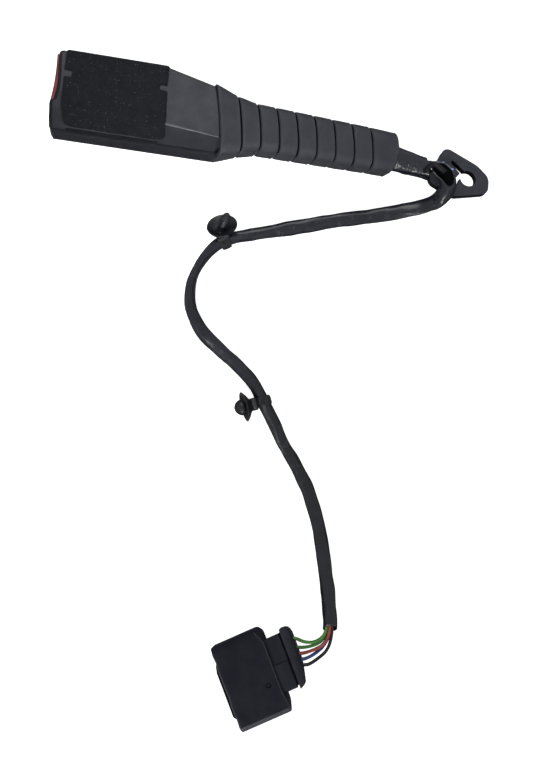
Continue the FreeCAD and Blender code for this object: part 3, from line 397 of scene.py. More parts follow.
# Camera, lights and floor

scene = bpy.context.scene
scene.view_settings.view_transform = "Standard"
camera = link("camera", bpy.data.cameras.new("camera"))
camera.data.sensor_fit = "VERTICAL"
camera.data.sensor_height = 36.0
camera.data.lens = 36.65
camera.location = at(147.67, -149.42, 471.0)
camera.rotation_euler = (0, 0, math.radians(9.25))
scene.camera = camera


def lamp(name, where, size, power, diffuse=1.0, shine=1.0, aim=(0.0, -0.1, 0.0), spread=180):
    light = bpy.data.lights.new(name, "AREA")
    light.shape = "DISK"
    light.size = size
    light.energy = power
    light.diffuse_factor = diffuse
    light.specular_factor = shine
    light.spread = math.radians(spread)
    obj = link(name, light)
    obj.location = where
    obj.rotation_euler = (Vector(aim) - Vector(where)).to_track_quat("-Z", "Y").to_euler()


lamp("main", (-0.3, 0.85, 0.95), 0.7, 6.6, shine=0.15)
lamp("crease", (-0.2, -0.6, 1.0), 0.05, 0.1, 0.0, 1.0, (-0.03, -0.01, 0.02), 20)
lamp("low", (0.1, -1.2, 0.5), 0.3, 6.0, 0.02, 0.8)


# white where the camera or a mirror looks at the world, and its plain light elsewhere
scene.world = bpy.data.worlds.new("world")
scene.world.use_nodes = True
tree = scene.world.node_tree
plain = tree.nodes["Background"]
plain.inputs["Color"].default_value = (1, 1, 1, 1)
plain.inputs["Strength"].default_value = 0.2
path = add(tree, "LightPath").outputs
most = {"operation": "MAXIMUM"}
seen = add(tree, "Math", most, {0: path["Is Camera Ray"], 1: path["Is Glossy Ray"]})
seen = add(tree, "Math", most, {0: seen.outputs[0], 1: path["Is Transmission Ray"]})
white = add(tree, "Background", {"Color": (1, 1, 1, 1), "Strength": 1.0})
both = add(tree, "MixShader", None, {0: seen.outputs[0], 1: plain.outputs[0], 2: white.outputs[0]})
tree.links.new(both.outputs[0], tree.nodes["World Output"].inputs["Surface"])

# the floor glows to the camera, keeps the object's shadow, and throws little light back
floor_mesh = bpy.data.meshes.new("floor")
floor_mesh.from_pydata([(4 * a, 4 * b, -0.0002) for a, b in SQUARE], [], [(0, 1, 2, 3)])
floor = link("floor", floor_mesh)
paper = bpy.data.materials.new("matt white paper")
paper.use_nodes = True
tree = paper.node_tree
base = tree.nodes["Principled BSDF"]
base.inputs["Base Color"].default_value = (0.8, 0.8, 0.8, 1)
base.inputs["Roughness"].default_value = 1.0
base.inputs["Specular IOR Level"].default_value = 0.0
glow = add(tree, "Emission", {"Color": (1, 1, 1, 1), "Strength": 0.93})
lit = add(tree, "AddShader", None, {0: base.outputs[0], 1: glow.outputs[0]})
dim = add(tree, "BsdfDiffuse", {"Color": (0.3, 0.3, 0.3, 1)})
shown = add(tree, "LightPath").outputs["Is Camera Ray"]
both = add(tree, "MixShader", None, {0: shown, 1: dim.outputs[0], 2: lit.outputs[0]})
tree.links.new(both.outputs[0], tree.nodes["Material Output"].inputs["Surface"])
floor_mesh.materials.append(paper)

# Harness tube

TUBE_ROUTE = [
    (221.6, -7.6, 20.4), (227.8, -12.2, 20.2), (230.2, -19.6, 18.3), (226.6, -25.6, 13.2),
    (219.0, -29.2, 7.6), (207.0, -33.2, 4.6), (190.3, -38.8, 3.9), (173.2, -43.5, 3.9),
    (156.3, -49.3, 3.9), (139.5, -55.0, 3.9), (124.6, -60.0, 3.9), (114.6, -65.4, 5.1),
    (101.6, -73.6, 5.1), (94.6, -84.6, 3.9), (91.8, -98.0, 3.9), (95.4, -111.0, 3.9),
    (103.2, -121.3, 3.9), (114.6, -129.6, 3.9), (127.0, -137.2, 4.2), (136.6, -144.6, 5.6),
    (142.2, -151.0, 6.6), (148.6, -163.8, 6.4), (156.6, -174.6, 4.6), (167.4, -186.0, 3.9),
    (176.6, -197.9, 3.9), (183.6, -209.6, 3.9), (189.6, -223.4, 3.9), (194.6, -238.6, 3.9),
    (199.3, -254.0, 3.9), (203.2, -268.0, 3.9), (205.8, -281.4, 3.9),
]


def route_curve(name, points):
    curve = bpy.data.curves.new(name, "CURVE")
    curve.dimensions = "3D"
    spline = curve.splines.new("NURBS")
    spline.points.add(len(points) - 1)
    for spot, p in zip(spline.points, points):
        spot.co = (*at(*p), 1.0)
    spline.order_u = 3
    spline.use_endpoint_u = True
    curve.resolution_u = 16
    return curve


def route_line(points):
    """Points along the NURBS line of a route, in layout millimetres."""
    obj = link("route", route_curve("route", points))
    mesh = bpy.data.meshes.new_from_object(obj)
    raw = [v.co * 1000 + SHIFT for v in mesh.vertices]
    bpy.data.objects.remove(obj)
    bpy.data.meshes.remove(mesh)
    return raw


def even(raw, step):
    """Points a fixed step apart along a line, as (distance, point)."""
    total = sum((b - a).length for a, b in zip(raw, raw[1:]))
    count = max(2, round(total / step))
    out = [(0.0, raw[0])]
    gone = 0.0
    for a, b in zip(raw, raw[1:]):
        length = (b - a).length
        while len(out) < count and length > 0 and len(out) * total / count <= gone + length:
            want = len(out) * total / count
            out.append((want, a + (b - a) * ((want - gone) / length)))
        gone += length
    out.append((total, raw[-1]))
    return out


def frames(line, level=True):
    """(distance, point, ahead, side, up) along a line; side stays level or is carried along."""
    out = []
    side = Vector((0, 1, 0))
    for i, (s, p) in enumerate(line):
        a = line[max(0, i - 1)][1]
        b = line[min(len(line) - 1, i + 1)][1]
        ahead = (b - a).normalized()
        if level:
            side = ahead.cross(Vector((0, 0, 1))).normalized()
        else:
            side = (side - ahead * side.dot(ahead)).normalized()
        out.append((s, p, ahead, side, side.cross(ahead)))
    return out


# distance along the tube, width, height, roll in degrees, sharpness of the fold
TUBE_FORM = [
    (0.0, 9.6, 7.6, 0.0, 0.2), (6.0, 9.4, 7.0, -4.0, 0.2), (14.0, 9.4, 5.8, -14.0, 0.5),
    (22.0, 10.2, 3.6, -24.0, 1.0), (34.0, 9.6, 3.8, -22.0, 1.0), (48.0, 8.8, 4.8, -4.0, 0.7),
    (80.0, 8.2, 5.8, 12.0, 0.5), (112.0, 8.6, 5.4, 8.0, 0.7), (127.0, 7.4, 6.8, 20.0, 0.2),
    (142.0, 7.2, 6.6, 30.0, 0.2), (160.0, 7.6, 5.2, 56.0, 0.8), (172.0, 8.0, 4.6, 74.0, 1.0),
    (186.0, 8.2, 5.0, 60.0, 0.9), (204.0, 8.0, 5.4, 26.0, 0.8), (224.0, 8.4, 5.2, -16.0, 0.9),
    (246.0, 7.8, 6.0, -22.0, 0.5), (262.0, 7.2, 7.0, 0.0, 0.1), (276.0, 7.8, 6.0, 24.0, 0.5),
    (300.0, 8.4, 5.2, 38.0, 0.8), (330.0, 8.2, 5.4, 12.0, 0.6), (370.0, 8.2, 5.8, -8.0, 0.5),
    (396.0, 8.4, 6.4, 0.0, 0.3), (412.0, 8.8, 6.8, 4.0, 0.2),
]


TUBE_SIDES = 40
TUBE_WALL = 0.7


def tube_pulled(spot):
    """The tube is pulled a little sideways beside its first clip and below its second."""
    near = math.exp(-((spot - Vector((108.7, -69.1, 5.1))).length / 13.0) ** 2)
    below = math.exp(-((spot - Vector((152.0, -168.0, 5.6))).length / 13.0) ** 2)
    return spot + Vector((-0.6, 2.3, 0.0)) * near + Vector((1.9, 0.7, 0.0)) * below


def tube_ring(frame_at, inset, cut, push):
    """A ring of the soft tube; cut moves its top along the tube and push the whole of it."""
    s = frame_at[0]
    width, height, roll, fold = table(TUBE_FORM, s)
    angle = math.radians(roll)
    ring = []
    for turn in turns(TUBE_SIDES):
        c, d = math.cos(turn), math.sin(turn)
        power = between(1.0, 0.86, fold)
        a = (width / 2 - inset) * math.copysign(abs(c) ** power, c)
        b = (height / 2 - inset) * math.copysign(abs(d) ** (2 - power), d)
        wave = noise.noise(Vector((s * 0.11, c * 1.2, d * 1.2))) * 0.45
        crease = -0.35 * fold * math.exp(-((turn - 1.9 - 0.5 * math.sin(s * 0.05)) / 0.2) ** 2)
        swell = 1 + (wave + crease) / (width / 2)
        a, b = a * swell, b * swell
        x = a * math.cos(angle) - b * math.sin(angle)
        y = a * math.sin(angle) + b * math.cos(angle)
        row = (s + cut * (y + height / 2) / height) / TUBE_STEP
        low = min(max(0, int(row)), len(tube_frames) - 2)
        near, far = tube_frames[low], tube_frames[low + 1]
        p, ahead, side, up = (u + (v - u) * (row - low) for u, v in zip(near[1:], far[1:]))
        spot = tube_pulled(p) + side * x + up * y + ahead * push
        spot.z = max(spot.z, 0.15)
        ring.append(spot)
    return ring


tube_frames = frames(even(route_line(TUBE_ROUTE), 1.1))
tube_total = tube_frames[-1][0]
TUBE_STEP = tube_total / (len(tube_frames) - 1)
outer, inner = [], []
for f in tube_frames:
    mouth, start, end = [max(0.0, 1 - gone / run) for gone, run in
                         ((f[0], 28.0), (f[0], 9.0), (tube_total - f[0], 9.0))]
    for grid, inset in ((outer, 0.0), (inner, TUBE_WALL)):
        grid.append(tube_ring(f, inset, 17.0 * mouth - 6.0 * end, 2.6 * end - 2.5 * start))
tube = piece("harness_tube_skin", thick_sheet(outer, inner, True), "tube", "harness_tube", 60)
# the sheet's faces come in pairs, outside and inside, and the inside is in shadow
tube.data.materials.append(M["groove"])
for face in tube.data.polygons[:2 * (len(outer) - 1) * TUBE_SIDES]:
    face.material_index = face.index % 2

# pale flecks on the rim of the tube's mouth: the point of the rim, and the fleck's size
for k, (turn, size) in enumerate(((27, 0.5), (24, 0.55), (20, 0.6))):
    spot = outer[0][turn] + Vector((0, 0, 0.25))
    rings = []
    for height in (-0.8, -0.5, 0.0, 0.5, 0.8):
        reach = size * math.sqrt(1 - height * height)
        rings.append([spot + Vector((reach * math.cos(t) * 1.3, reach * math.sin(t), size * height * 0.5))
                      for t in turns(12)])
    piece("fleck_%d" % k, tube_rings(rings), "fleck", angle=60)

# Wires

YAW = math.radians(33.0)
BACK = Vector((math.cos(YAW), math.sin(YAW), 0.0))
CROSS = Vector((-BACK.y, BACK.x, 0.0))
CONNECTOR = Vector((176.4, -304.0, 0.0))


def on_connector(r, w, z):
    """A point in the connector's own axes: r backwards, w across, z up."""
    return CONNECTOR + BACK * r + CROSS * w + Vector((0, 0, z))


# offset at the cover, place in the tube, colour and the middle of the route
WIRES = {
    "wire_green_1": (-9.3, 4, "green", [(186.4, -287.6, 12.0), (192.0, -289.4, 11.4), (199.2, -288.6, 8.6)]),
    "wire_green_2": (
        -3.7, 3, "green_2", [(189.8, -292.4, 12.0), (195.4, -291.4, 10.6), (201.6, -289.0, 6.6)],
    ),
    "wire_red": (0.2, 0, "red", [(191.8, -295.4, 12.0), (197.2, -293.6, 9.8), (203.4, -290.2, 7.0)]),
    "wire_blue": (3.9, 2, "blue", [(193.8, -298.2, 12.0), (198.8, -295.8, 8.6), (203.9, -291.4, 5.0)]),
    "wire_black": (7.3, 1, "black", [(195.6, -301.6, 12.0), (200.6, -299.0, 7.8), (206.8, -293.8, 3.3)]),
}
WIRE_RING = 1.55
COVER_BACK = 14.0
tip = Vector(TUBE_ROUTE[-1])
way = (tip - Vector(TUBE_ROUTE[-2])).normalized()
side = Vector((way.y, -way.x, 0.0))
wires = []
for name, (offset, place, colour, middle) in WIRES.items():
    angle = math.radians(90 + 72 * place)
    ring = side * (WIRE_RING * math.cos(angle)) + Vector((0, 0, WIRE_RING * math.sin(angle)))
    face = on_connector(COVER_BACK, -offset, 12.0)
    spots = [tip - way * 9.0 + ring, tip + way * 1.2 + ring]
    spots += [Vector(p) for p in middle[::-1]]
    spots += [face + BACK * 1.4, face - BACK * 2.95]
    curve = route_curve(name + "_line", [tuple(p) for p in spots])
    curve.bevel_depth = 0.00098
    curve.bevel_resolution = 4
    curve.use_fill_caps = True
    wire = link(name + "_core", curve)
    wire.data.materials.append(M[colour])
    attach(wire, "buckle")
    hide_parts(name)
    wires.append((wire, spots))

# Connector


SKEW = 0.055


def connector_ring(r, left, right, low, high, radii, lean=0.0):
    """A rounded section of the connector at r; left and right are its limits across."""
    spots = ((left, low), (right - lean, low), (right, high), (left, high))
    ring = filled(rounded([(*spot, radius) for spot, radius in zip(spots, radii)]), 10)
    place = r if callable(r) else lambda w, z: r
    return [on_connector(place(p.x, p.y) + SKEW * p.x, p.x, p.y) for p in ring]


def mouth_r(w, z):
    """The mouth's rim: the top wall is cut back in soft waves and the bottom wall stays long."""
    wave = 0.2 * math.sin(w * 0.33 + 2.4) + 0.2 * math.sin(w * 0.9)
    low = -31.0 - 4.2 * ease(16.0, 6.0, w) * ease(-27.0, -22.0, w)
    return low + (-30.6 + wave - low) * ease(9.0, 19.5, z)


def housing_ring(r, inset):
    radii = [max(0.6, value - inset) for value in (5.0, 5.0, 3.6, 4.6)]
    return connector_ring(r, -27.0 + inset, 25.0 - inset, inset, 21.0 - inset, radii, 4.0)


def housing_back(w, r):
    """The back of the housing slopes forwards on one side and backwards on the other."""
    return r - 3.4 * ease(16.0, 25.0, w) + 1.2 * ease(-12.0, -24.0, w)


# the bottom of the mouth, its wall and rim, the outside, and the rounded back; each with its inset
rings = [housing_ring(-10.5, 2.3)]
for out, inset in ((1.2, 2.2), (0.25, 2.0), (0.0, 1.7), (0.0, 0.7), (0.3, 0.2), (0.9, 0.0)):
    rings.append(housing_ring(lambda w, z, out=out: mouth_r(w, z) + out, inset))
rings += [housing_ring(r, 0.0) for r in (-27.0, -18.0, -9.0)]
for r, inset in ((-2.0, 0.0), (-1.2, 0.08), (-0.65, 0.4), (-0.4, 1.0), (-0.4, 5.0)):
    rings.append(housing_ring(lambda w, z, r=r: housing_back(w, r), inset))
body = piece("connector_body", tube_rings(rings), "connector", "connector_housing", 45)
AHEAD = on_connector(1, 0, 0) - on_connector(0, 0, 0)
ACROSS = on_connector(0, 1, 0) - on_connector(0, 0, 0)
# painted highlight on the rounded top edges of the connector, along its side and at its ends
paint(body, "connector_painted_highlight", lambda c, n: c.z > 16.0 and n.dot(ACROSS) < -0.12 and n.z > 0.05)
paint(body, "connector_painted_highlight", lambda c, n: c.z > 16.0 and abs(n.dot(AHEAD)) > 0.3 and n.z > 0.45)
paint(body, "groove", lambda c, n: c.z < 16.0 and n.dot(AHEAD) < -0.1)

rings = []
for r, inset in ((-1.8, 0.0), (5.0, 0.0), (8.4, 0.0), (8.7, 0.3)):
    rings.append(connector_ring(r, inset - 16.0, 16.6 - inset, 2.0, 18.6 - inset, (1.0, 1.0, 1.0, 1.2), 4.2))
neck = piece("connector_neck", tube_rings(rings), "connector", angle=40)
rings = []
for r, inset in ((-1.6, 0.0), (7.9, 0.0), (8.3, 0.3)):
    rings.append(connector_ring(r, inset - 14.6, 0.8 - inset, 16.0, 19.1 - inset, (0.3, 0.3, 0.4, 0.8)))
step = piece("connector_neck_step", tube_rings(rings), "connector", angle=40)

rings = []
for r, left, right, high in (
    (8.0, -15.8, 16.0, 15.2), (9.6, -16.2, 16.6, 15.4), (9.65, -16.9, 18.8, 19.2),
    (9.9, -17.1, 19.1, 19.6), (12.6, -15.7, 18.8, 19.6), (14.0, -14.4, 18.0, 19.4),
    (14.9, -10.4, 16.4, 18.6), (15.4, -6.4, 14.6, 17.6),
):
    rings.append(connector_ring(r, left, right, 1.2, high, (1.0, 1.0, 1.0, 1.0), 4.4))
cover = piece("connector_cap", tube_rings(rings), "cover", "connector_rear_cover", 35)
# ribs on the cap's flange, coloured with the near-black painted shade to stand for the shade in its notches
ribs, rib_faces = [], []
for w, r, long in (
    (12.0, 12.8, 1.6), (6.4, 12.4, 1.2), (0.2, 12.9, 1.6), (-6.4, 12.5, 1.3), (-11.6, 12.0, 1.5),
):
    rib_faces += [tuple(len(ribs) + k for k in face) for face in BOX_FACES]
    ribs += [on_connector(r + a * long / 2 + SKEW * w, w + b * 0.22, z)
             for z in (19.0, 19.75) for a, b in SQUARE]
marks = piece("connector_cap_ribs", (ribs, rib_faces), "rim", angle=30, edge=0.12)


def turned(profile, sides, place):
    """Points and faces of a turned form; place takes local (a, b, c) to the layout, c along the axis."""
    rings = []
    for radius, height in profile:
        angles = [2 * math.pi * (k + 0.5) / sides for k in range(sides)]
        rings.append([place(radius * math.cos(t), radius * math.sin(t), height) for t in angles])
    return tube_rings(rings)


def on_dimple(a, b, c):
    return on_connector(-6.9 + a, -7.1 + b, c)


# a moulding dimple with its dot in the top of the housing
carve(body, turned([(1.62, 20.35), (1.62, 22.0)], 40, on_dimple))
DOT = [(1.5, 19.9), (1.5, 20.3), (1.1, 20.36), (0.9, 20.5), (0.5, 20.72), (0.1, 20.8)]
dot = piece("connector_dot", turned(DOT, 40, on_dimple), "connector", angle=50)

# Clips

# run of the tube's line, share of it, rise of the stem, turn along the tube, lean of the head and its size
CLIPS = {
    "clip_1": (11, 0.45, 56.0, 8.0, Vector((0.55, 0.55, 0.0)), 0.9),
    "clip_2": (20, 0.4, 14.0, 3.0, Vector((0, 0, 0)), 1.24),
}


def clip_place(run, share, rise, turn, lean):
    """Takes a clip's own axes to the layout: a along the tube, b across, c along the stem."""
    start, end = Vector(TUBE_ROUTE[run]), Vector(TUBE_ROUTE[run + 1])
    seat = tube_pulled(start + (end - start) * share)
    along = (end - start).normalized()
    level = Vector((along.y, -along.x, 0)).normalized()
    upward = along.cross(level)
    if upward.z < 0:
        upward = -upward
    angle = math.radians(rise)
    stem = level * math.cos(angle) + upward * math.sin(angle)
    side = stem.cross(along)
    tip = stem * math.cos(math.radians(turn)) - along * math.sin(math.radians(turn))
    flat = along * math.cos(math.radians(turn)) + stem * math.sin(math.radians(turn))

    def straight(a, b, c):
        return seat + along * a + side * b + stem * c

    def tilted(a, b, c):
        return seat + stem * 7.0 + flat * a + side * b + tip * (c - 7.0) + lean * max(0.0, c - 10.0)

    return straight, tilted


# radius and height: the disc's underside, its thin rim and top, and the barbed head
SAUCER = [
    (2.2, 7.2), (3.6, 7.5), (4.6, 8.4), (6.6, 9.6), (8.5, 11.15), (8.85, 11.5), (8.8, 11.75),
    (8.5, 11.7), (6.4, 10.5), (4.2, 9.5), (2.9, 9.2), (2.5, 9.9), (2.5, 11.2), (3.1, 11.6), (3.7, 12.1),
    (3.8, 12.7), (3.8, 13.6), (3.5, 14.7), (2.8, 15.9), (1.9, 16.8), (0.9, 17.3), (0.2, 17.4),
]
# the band's edges and the grooved field between them: place along the tube and lift
BAND = [
    (-2.8, -0.25), (-2.55, 0.0), (-1.9, 0.0), (-1.7, -0.14),
    (1.7, -0.14), (1.9, 0.0), (2.55, 0.0), (2.8, -0.25),
]
BAND_INNER = 3.8
BAND_OUTER = 4.9
BAND_SIDES = 96
clip_skins = []
for name, numbers in CLIPS.items():
    straight, tilted = clip_place(*numbers[:5])
    profile = [(r * (numbers[5] if height > 11.5 and r < 4 else 1), height) for r, height in SAUCER]
    skin = piece(name + "_saucer", turned(profile, 48, tilted), "clip", name, 50)
    for offset in (-1.95, 1.95):
        slit = [tilted(a * 6, offset + b * 0.5, c) for c in (11.9, 15.4) for a, b in SQUARE]
        carve(skin, (slit, BOX_FACES))
    shade(skin, 50)
    foot = []
    for c, grow in ((4.55, 0.0), (5.2, 0.5), (7.2, 0.3), (7.9, -0.4)):
        corners = [(x * (3.3 + grow), y * (4.4 + grow), 0.9) for x, y in SQUARE]
        foot.append([straight(p.x, p.y, c) for p in rounded(corners, 5)])
    block = piece(name + "_block", tube_rings(foot), "clip", angle=40)
    outer, inner = [], []
    for a, lift in BAND:
        ring = []
        for k, turn in enumerate(turns(BAND_SIDES)):
            ridge = 0.32 if abs(a) < 1.8 and k % 4 < 2 else 0.0
            radius = BAND_OUTER + lift + ridge
            ring.append(straight(a, radius * math.cos(turn), radius * math.sin(turn)))
        outer.append(ring)
        inner.append([straight(a, BAND_INNER * math.cos(t), BAND_INNER * math.sin(t))
                      for t in turns(BAND_SIDES)])
    band = piece(name + "_band", thick_sheet(outer, inner, True), "clip", name + "_tie", 35)
    clip_skins += [skin, block, band]

# Head covers

HEAD_LENGTH = 91.4
PART_LOW = 13.0
PART_HIGH = 13.4
SECTION_END = 102.0
TAPER_START = 62.6


def slanted(x, y, z, half=17.0):
    """x at (y, z) on the slanted rim through x, which bulges backwards in its middle."""
    bulge = 0.9 * max(0.0, 1 - ((y + 2.2) / half) ** 2) * ease(4.0, 14.0, z)
    return x - 0.22 * (y + 2.2) + 0.27 * (z - 12.5) + bulge


def head_corners(x):
    """(y, z) of the head's five corners at x; behind TAPER_START it narrows to the boot."""
    tail = max(0.0, x - TAPER_START) / (SECTION_END - TAPER_START)
    along = x / SECTION_END
    top = between(25.0, 22.8, tail)
    plus = between(21.5, 13.4, tail)
    crease = -between(10.6, 13.4, tail)
    minus = -between(20.5, 18.9, along)
    foot = -between(21.7, 20.3, along)
    return [Vector(p) for p in ((minus, 13.0), (foot, 0.0), (plus, 0.0), (plus, top), (crease, top))]


def fill(a, b, shares):
    return [a + (b - a) * s for s in shares]


TOP_SHARES = [0.03, 0.055, 0.068, 0.08, 0.092, 0.104, 0.116, 0.13, 0.16]
TOP_SHARES += [0.2 + 0.05 * i for i in range(16)]


def upper_profile(x):
    """(y, z) round the upper half at x, from the parting line over the crease and down."""
    side, foot, foot_plus, plus, crease = head_corners(x)
    radius = between(3.0, 1.3, ease(60.0, 84.0, x))
    low = side + (crease - side) * ((PART_HIGH - PART_LOW) / (crease.y - PART_LOW))
    arc = round_corner(side, crease, plus, radius, 8)
    turn = round_corner(crease, plus, foot_plus, 3.0, 8)
    spots = fill(low, arc[0], [i / 8 for i in range(8)]) + arc
    spots += fill(arc[-1], turn[0], TOP_SHARES) + turn
    end = Vector((plus.x, PART_HIGH))
    return spots + fill(turn[-1], end, [i / 6 for i in range(1, 7)])


def lower_profile(x):
    """(y, z) round the lower half at x, from the parting line under the foot and up."""
    side, foot, foot_plus, plus, crease = head_corners(x)
    first = round_corner(side, foot, foot_plus, 3.0, 8)
    second = round_corner(foot, foot_plus, plus, 3.5, 8)
    spots = fill(side, first[0], [i / 5 for i in range(5)]) + first
    spots += fill(first[-1], second[0], [i / 16 for i in range(1, 16)]) + second
    end = Vector((foot_plus.x, PART_LOW))
    return spots + fill(second[-1], end, [i / 5 for i in range(1, 6)])


def moved_in(spots, inset):
    """Each point of a polyline moved to its right by inset."""
    out = []
    for i, p in enumerate(spots):
        run = spots[min(len(spots) - 1, i + 1)] - spots[max(0, i - 1)]
        run.normalize()
        out.append(p + Vector((run.y, -run.x)) * inset)
    return out


def corner_back(distance, radius):
    """How far a rounded plan corner falls back at a distance from the side."""
    if distance >= radius:
        return 0.0
    gap = radius - max(0.0, distance)
    return radius - math.sqrt(max(0.0, radius * radius - gap * gap))


def upper_mouth(y, z):
    """x of the upper half's front rim, which dips in the middle and steps back under the crease."""
    x = ease(-8.3, -6.9, y) * (3.1 - 0.7 * ease(-1.0, -7.0, y)) - 1.5 * ease(2.0, 20.0, y)
    x += 0.5 * ease(-16.0, -9.0, y) * ease(-7.0, -9.0, y) - 0.11 * (25.0 - z) * ease(-9.0, -17.0, y)
    return x + corner_back(y + 22.4, 2.4) + corner_back(21.6 - y, 3.5)


def lower_mouth(y, z):
    """x of the lower half's front rim, which leans forwards to the floor."""
    lean = 0.2 * (PART_LOW - z)
    return -1.3 + 1.5 * ease(-14.0, 4.0, y) - lean + corner_back(y + 22.0, 2.2) + corner_back(21.8 - y, 3.5)


HEAD_SHARES = [0.0, 0.006, 0.02, 0.05] + [0.1 + 0.05 * i for i in range(17)] + [0.93, 0.96, 0.985, 1.0]


def head_grid(profile, mouth, inset):
    """Rings from the mouth to the slanted rear rim; three rounds settle each point's x."""
    rings = []
    for share in HEAD_SHARES:
        ring = []
        for i in range(len(profile(0.0))):
            x = share * HEAD_LENGTH
            for _ in range(3):
                y, z = moved_in(profile(x), inset)[i]
                z = max(z, 0.0)
                x = between(mouth(y, z), slanted(HEAD_LENGTH, y, z), share)
            ring.append((x, y, z))
        rings.append(ring)
    return rings


def shell(name, profile, mouth, insets, material, node):
    """Half of the housing; a positive inset moves the upper half in and the lower half out."""
    form = thick_sheet(*[head_grid(profile, mouth, inset) for inset in insets])
    return piece(name, form, material, node, 40, edge=0.35)


upper_skin = shell("upper_cover_skin", upper_profile, upper_mouth, (0.0, 1.9), "housing", "upper_cover")
# painted shade on the upper half: near black along the parting line below the felt and at the front rim by
# the mouth, darker on a band behind the mouth and on the slanted face by the tail
paint(upper_skin, "rim", lambda c, n: c.z < 14.6 and c.x < 60)
paint(upper_skin, "slope", lambda c, n: c.x - upper_mouth(c.y, c.z) < 3.0 + 6.0 * ease(-2.0, -9.0, c.y))
paint(upper_skin, "rim", lambda c, n: c.x - upper_mouth(c.y, c.z) < 1.9 + 0.4 * ease(-6.0, -9.0, c.y))
paint(upper_skin, "slope", lambda c, n: c.x > 60 and n.y < -0.5 and n.z > 0.3)
# painted highlight along the crease at the tail
paint(upper_skin, "shine", lambda c, n: c.x > 62 and n.y < 0 and 0.78 < n.z < 0.9)
shell("lower_cover_skin", lower_profile, lower_mouth, (1.9, -1.0), "housing_low", "lower_cover")

# the front wall with the tongue slot
rim = rounded([(-20.6, 0.6, 3.0), (20.4, 0.6, 3.0), (20.4, 11.4, 0.4), (-19.6, 11.4, 0.4)], 6)
slot = rounded([(-15.5, 4.6, 0.6), (15.5, 4.6, 0.6), (15.5, 9.8, 0.6), (-15.5, 9.8, 0.6)], 6)
grids = [[[(x, p.x, p.y) for p in ring] for x in (0.35, 2.4)] for ring in (rim, slot)]
piece("front_wall", thick_sheet(*grids, closed=True), "housing_low", angle=40, edge=0.3)


def neck_ring(x0, inset):
    loop = moved_in(upper_profile(88.0) + lower_profile(88.0)[::-1], inset)
    return [(slanted(x0, y, z), y, z) for y, z in loop]


# the neck that enters the boot
grids = [[neck_ring(x, inset) for x in (88.5, 99.0)] for inset in (2.2, 3.8)]
piece("head_neck", thick_sheet(*grids, closed=True), "housing_low", angle=40)

# Felt pad


def skin_point(x, s, lift):
    """A point of the felt: x along the head, s round it from the crease."""
    side, foot, foot_plus, plus, crease = head_corners(x)
    arc = round_corner(side, crease, plus, 3.0, 10)
    turn = round_corner(crease, plus, foot_plus, 3.0, 10)
    line = [side] + arc + turn + [Vector((plus.x, 10.0))]
    lengths = [0.0]
    for a, b in zip(line, line[1:]):
        lengths.append(lengths[-1] + (b - a).length)
    want = s + lengths[6]
    for i in range(len(line) - 1):
        if want <= lengths[i + 1] or i == len(line) - 2:
            share = (want - lengths[i]) / (lengths[i + 1] - lengths[i])
            run = (line[i + 1] - line[i]).normalized()
            spot = line[i] + (line[i + 1] - line[i]) * share + Vector((-run.y, run.x)) * lift
            return (x, spot.x, spot.y)


# the cut sheet laid flat: along the head, round it from the crease, and corner radius
FELT = [
    (5.0, 41.0, 1.0), (5.7, 20.2, 0.7), (10.2, 20.2, 0.9), (10.2, 16.9, 0.9), (5.9, 16.9, 0.9),
    (7.0, -12.3, 4.2), (66.4, -12.3, 5.0), (66.6, 2.2, 4.0), (64.9, 17.9, 0.8), (60.2, 17.9, 1.2),
    (60.2, 20.5, 1.2), (64.6, 20.5, 0.8), (63.2, 41.0, 1.0),
]


def stray(p, first, second):
    """A small smooth shift of a flat point, from two layers of noise."""
    return Vector((noise.noise(Vector((p.x, p.y, first))), noise.noise(Vector((p.x, p.y, second)))))


border = []
loop = rounded(FELT, 6)
for a, b in zip(loop, loop[1:] + loop[:1]):
    count = max(1, round((b - a).length / 0.7))
    border += [a + (b - a) * (k / count) for k in range(count)]
border = [p + stray(p, 3.0, 9.0) * 0.22 for p in border]
tree = KDTree(len(border))
for i, p in enumerate(border):
    tree.insert((p.x, p.y, 0), i)
tree.balance()
inside = []
for i in range(60):
    for j in range(56):
        p = Vector((6.0 + i * 1.05, -11.6 + j * 0.95))
        p += stray(p, 1.0, 5.0) * 0.3
        if tree.find((p.x, p.y, 0))[2] > 0.55:
            inside.append(p)
edges = [(i, (i + 1) % len(border)) for i in range(len(border))]
flat, _, triangles = delaunay_2d_cdt(border + inside, edges, [], 1, 1e-5)[:3]
top, bottom = [], []
for p in flat:
    d = tree.find((p.x, p.y, 0))[2]
    round_off = math.sqrt(1 - (1 - min(d / 0.9, 1.0)) ** 2)
    soft = noise.noise(Vector((p.x * 0.35, p.y * 0.35, 0.0))) * 0.05
    top.append(skin_point(p.x, p.y, 0.18 + 0.68 * round_off + soft))
    bottom.append(skin_point(p.x, p.y, 0.02))
count = len(top)
faces = [tuple(t) for t in triangles] + [tuple(count + i for i in reversed(t)) for t in triangles]
used = {}
for t in triangles:
    for a, b in zip(t, t[1:] + t[:1]):
        used[(a, b)] = used.get((a, b), 0) + 1
for a, b in used:
    if (b, a) not in used:
        faces.append((b, a, count + a, count + b))
piece("felt_sheet", (top + bottom, faces), "felt", "felt_pad", 70)

# Boot

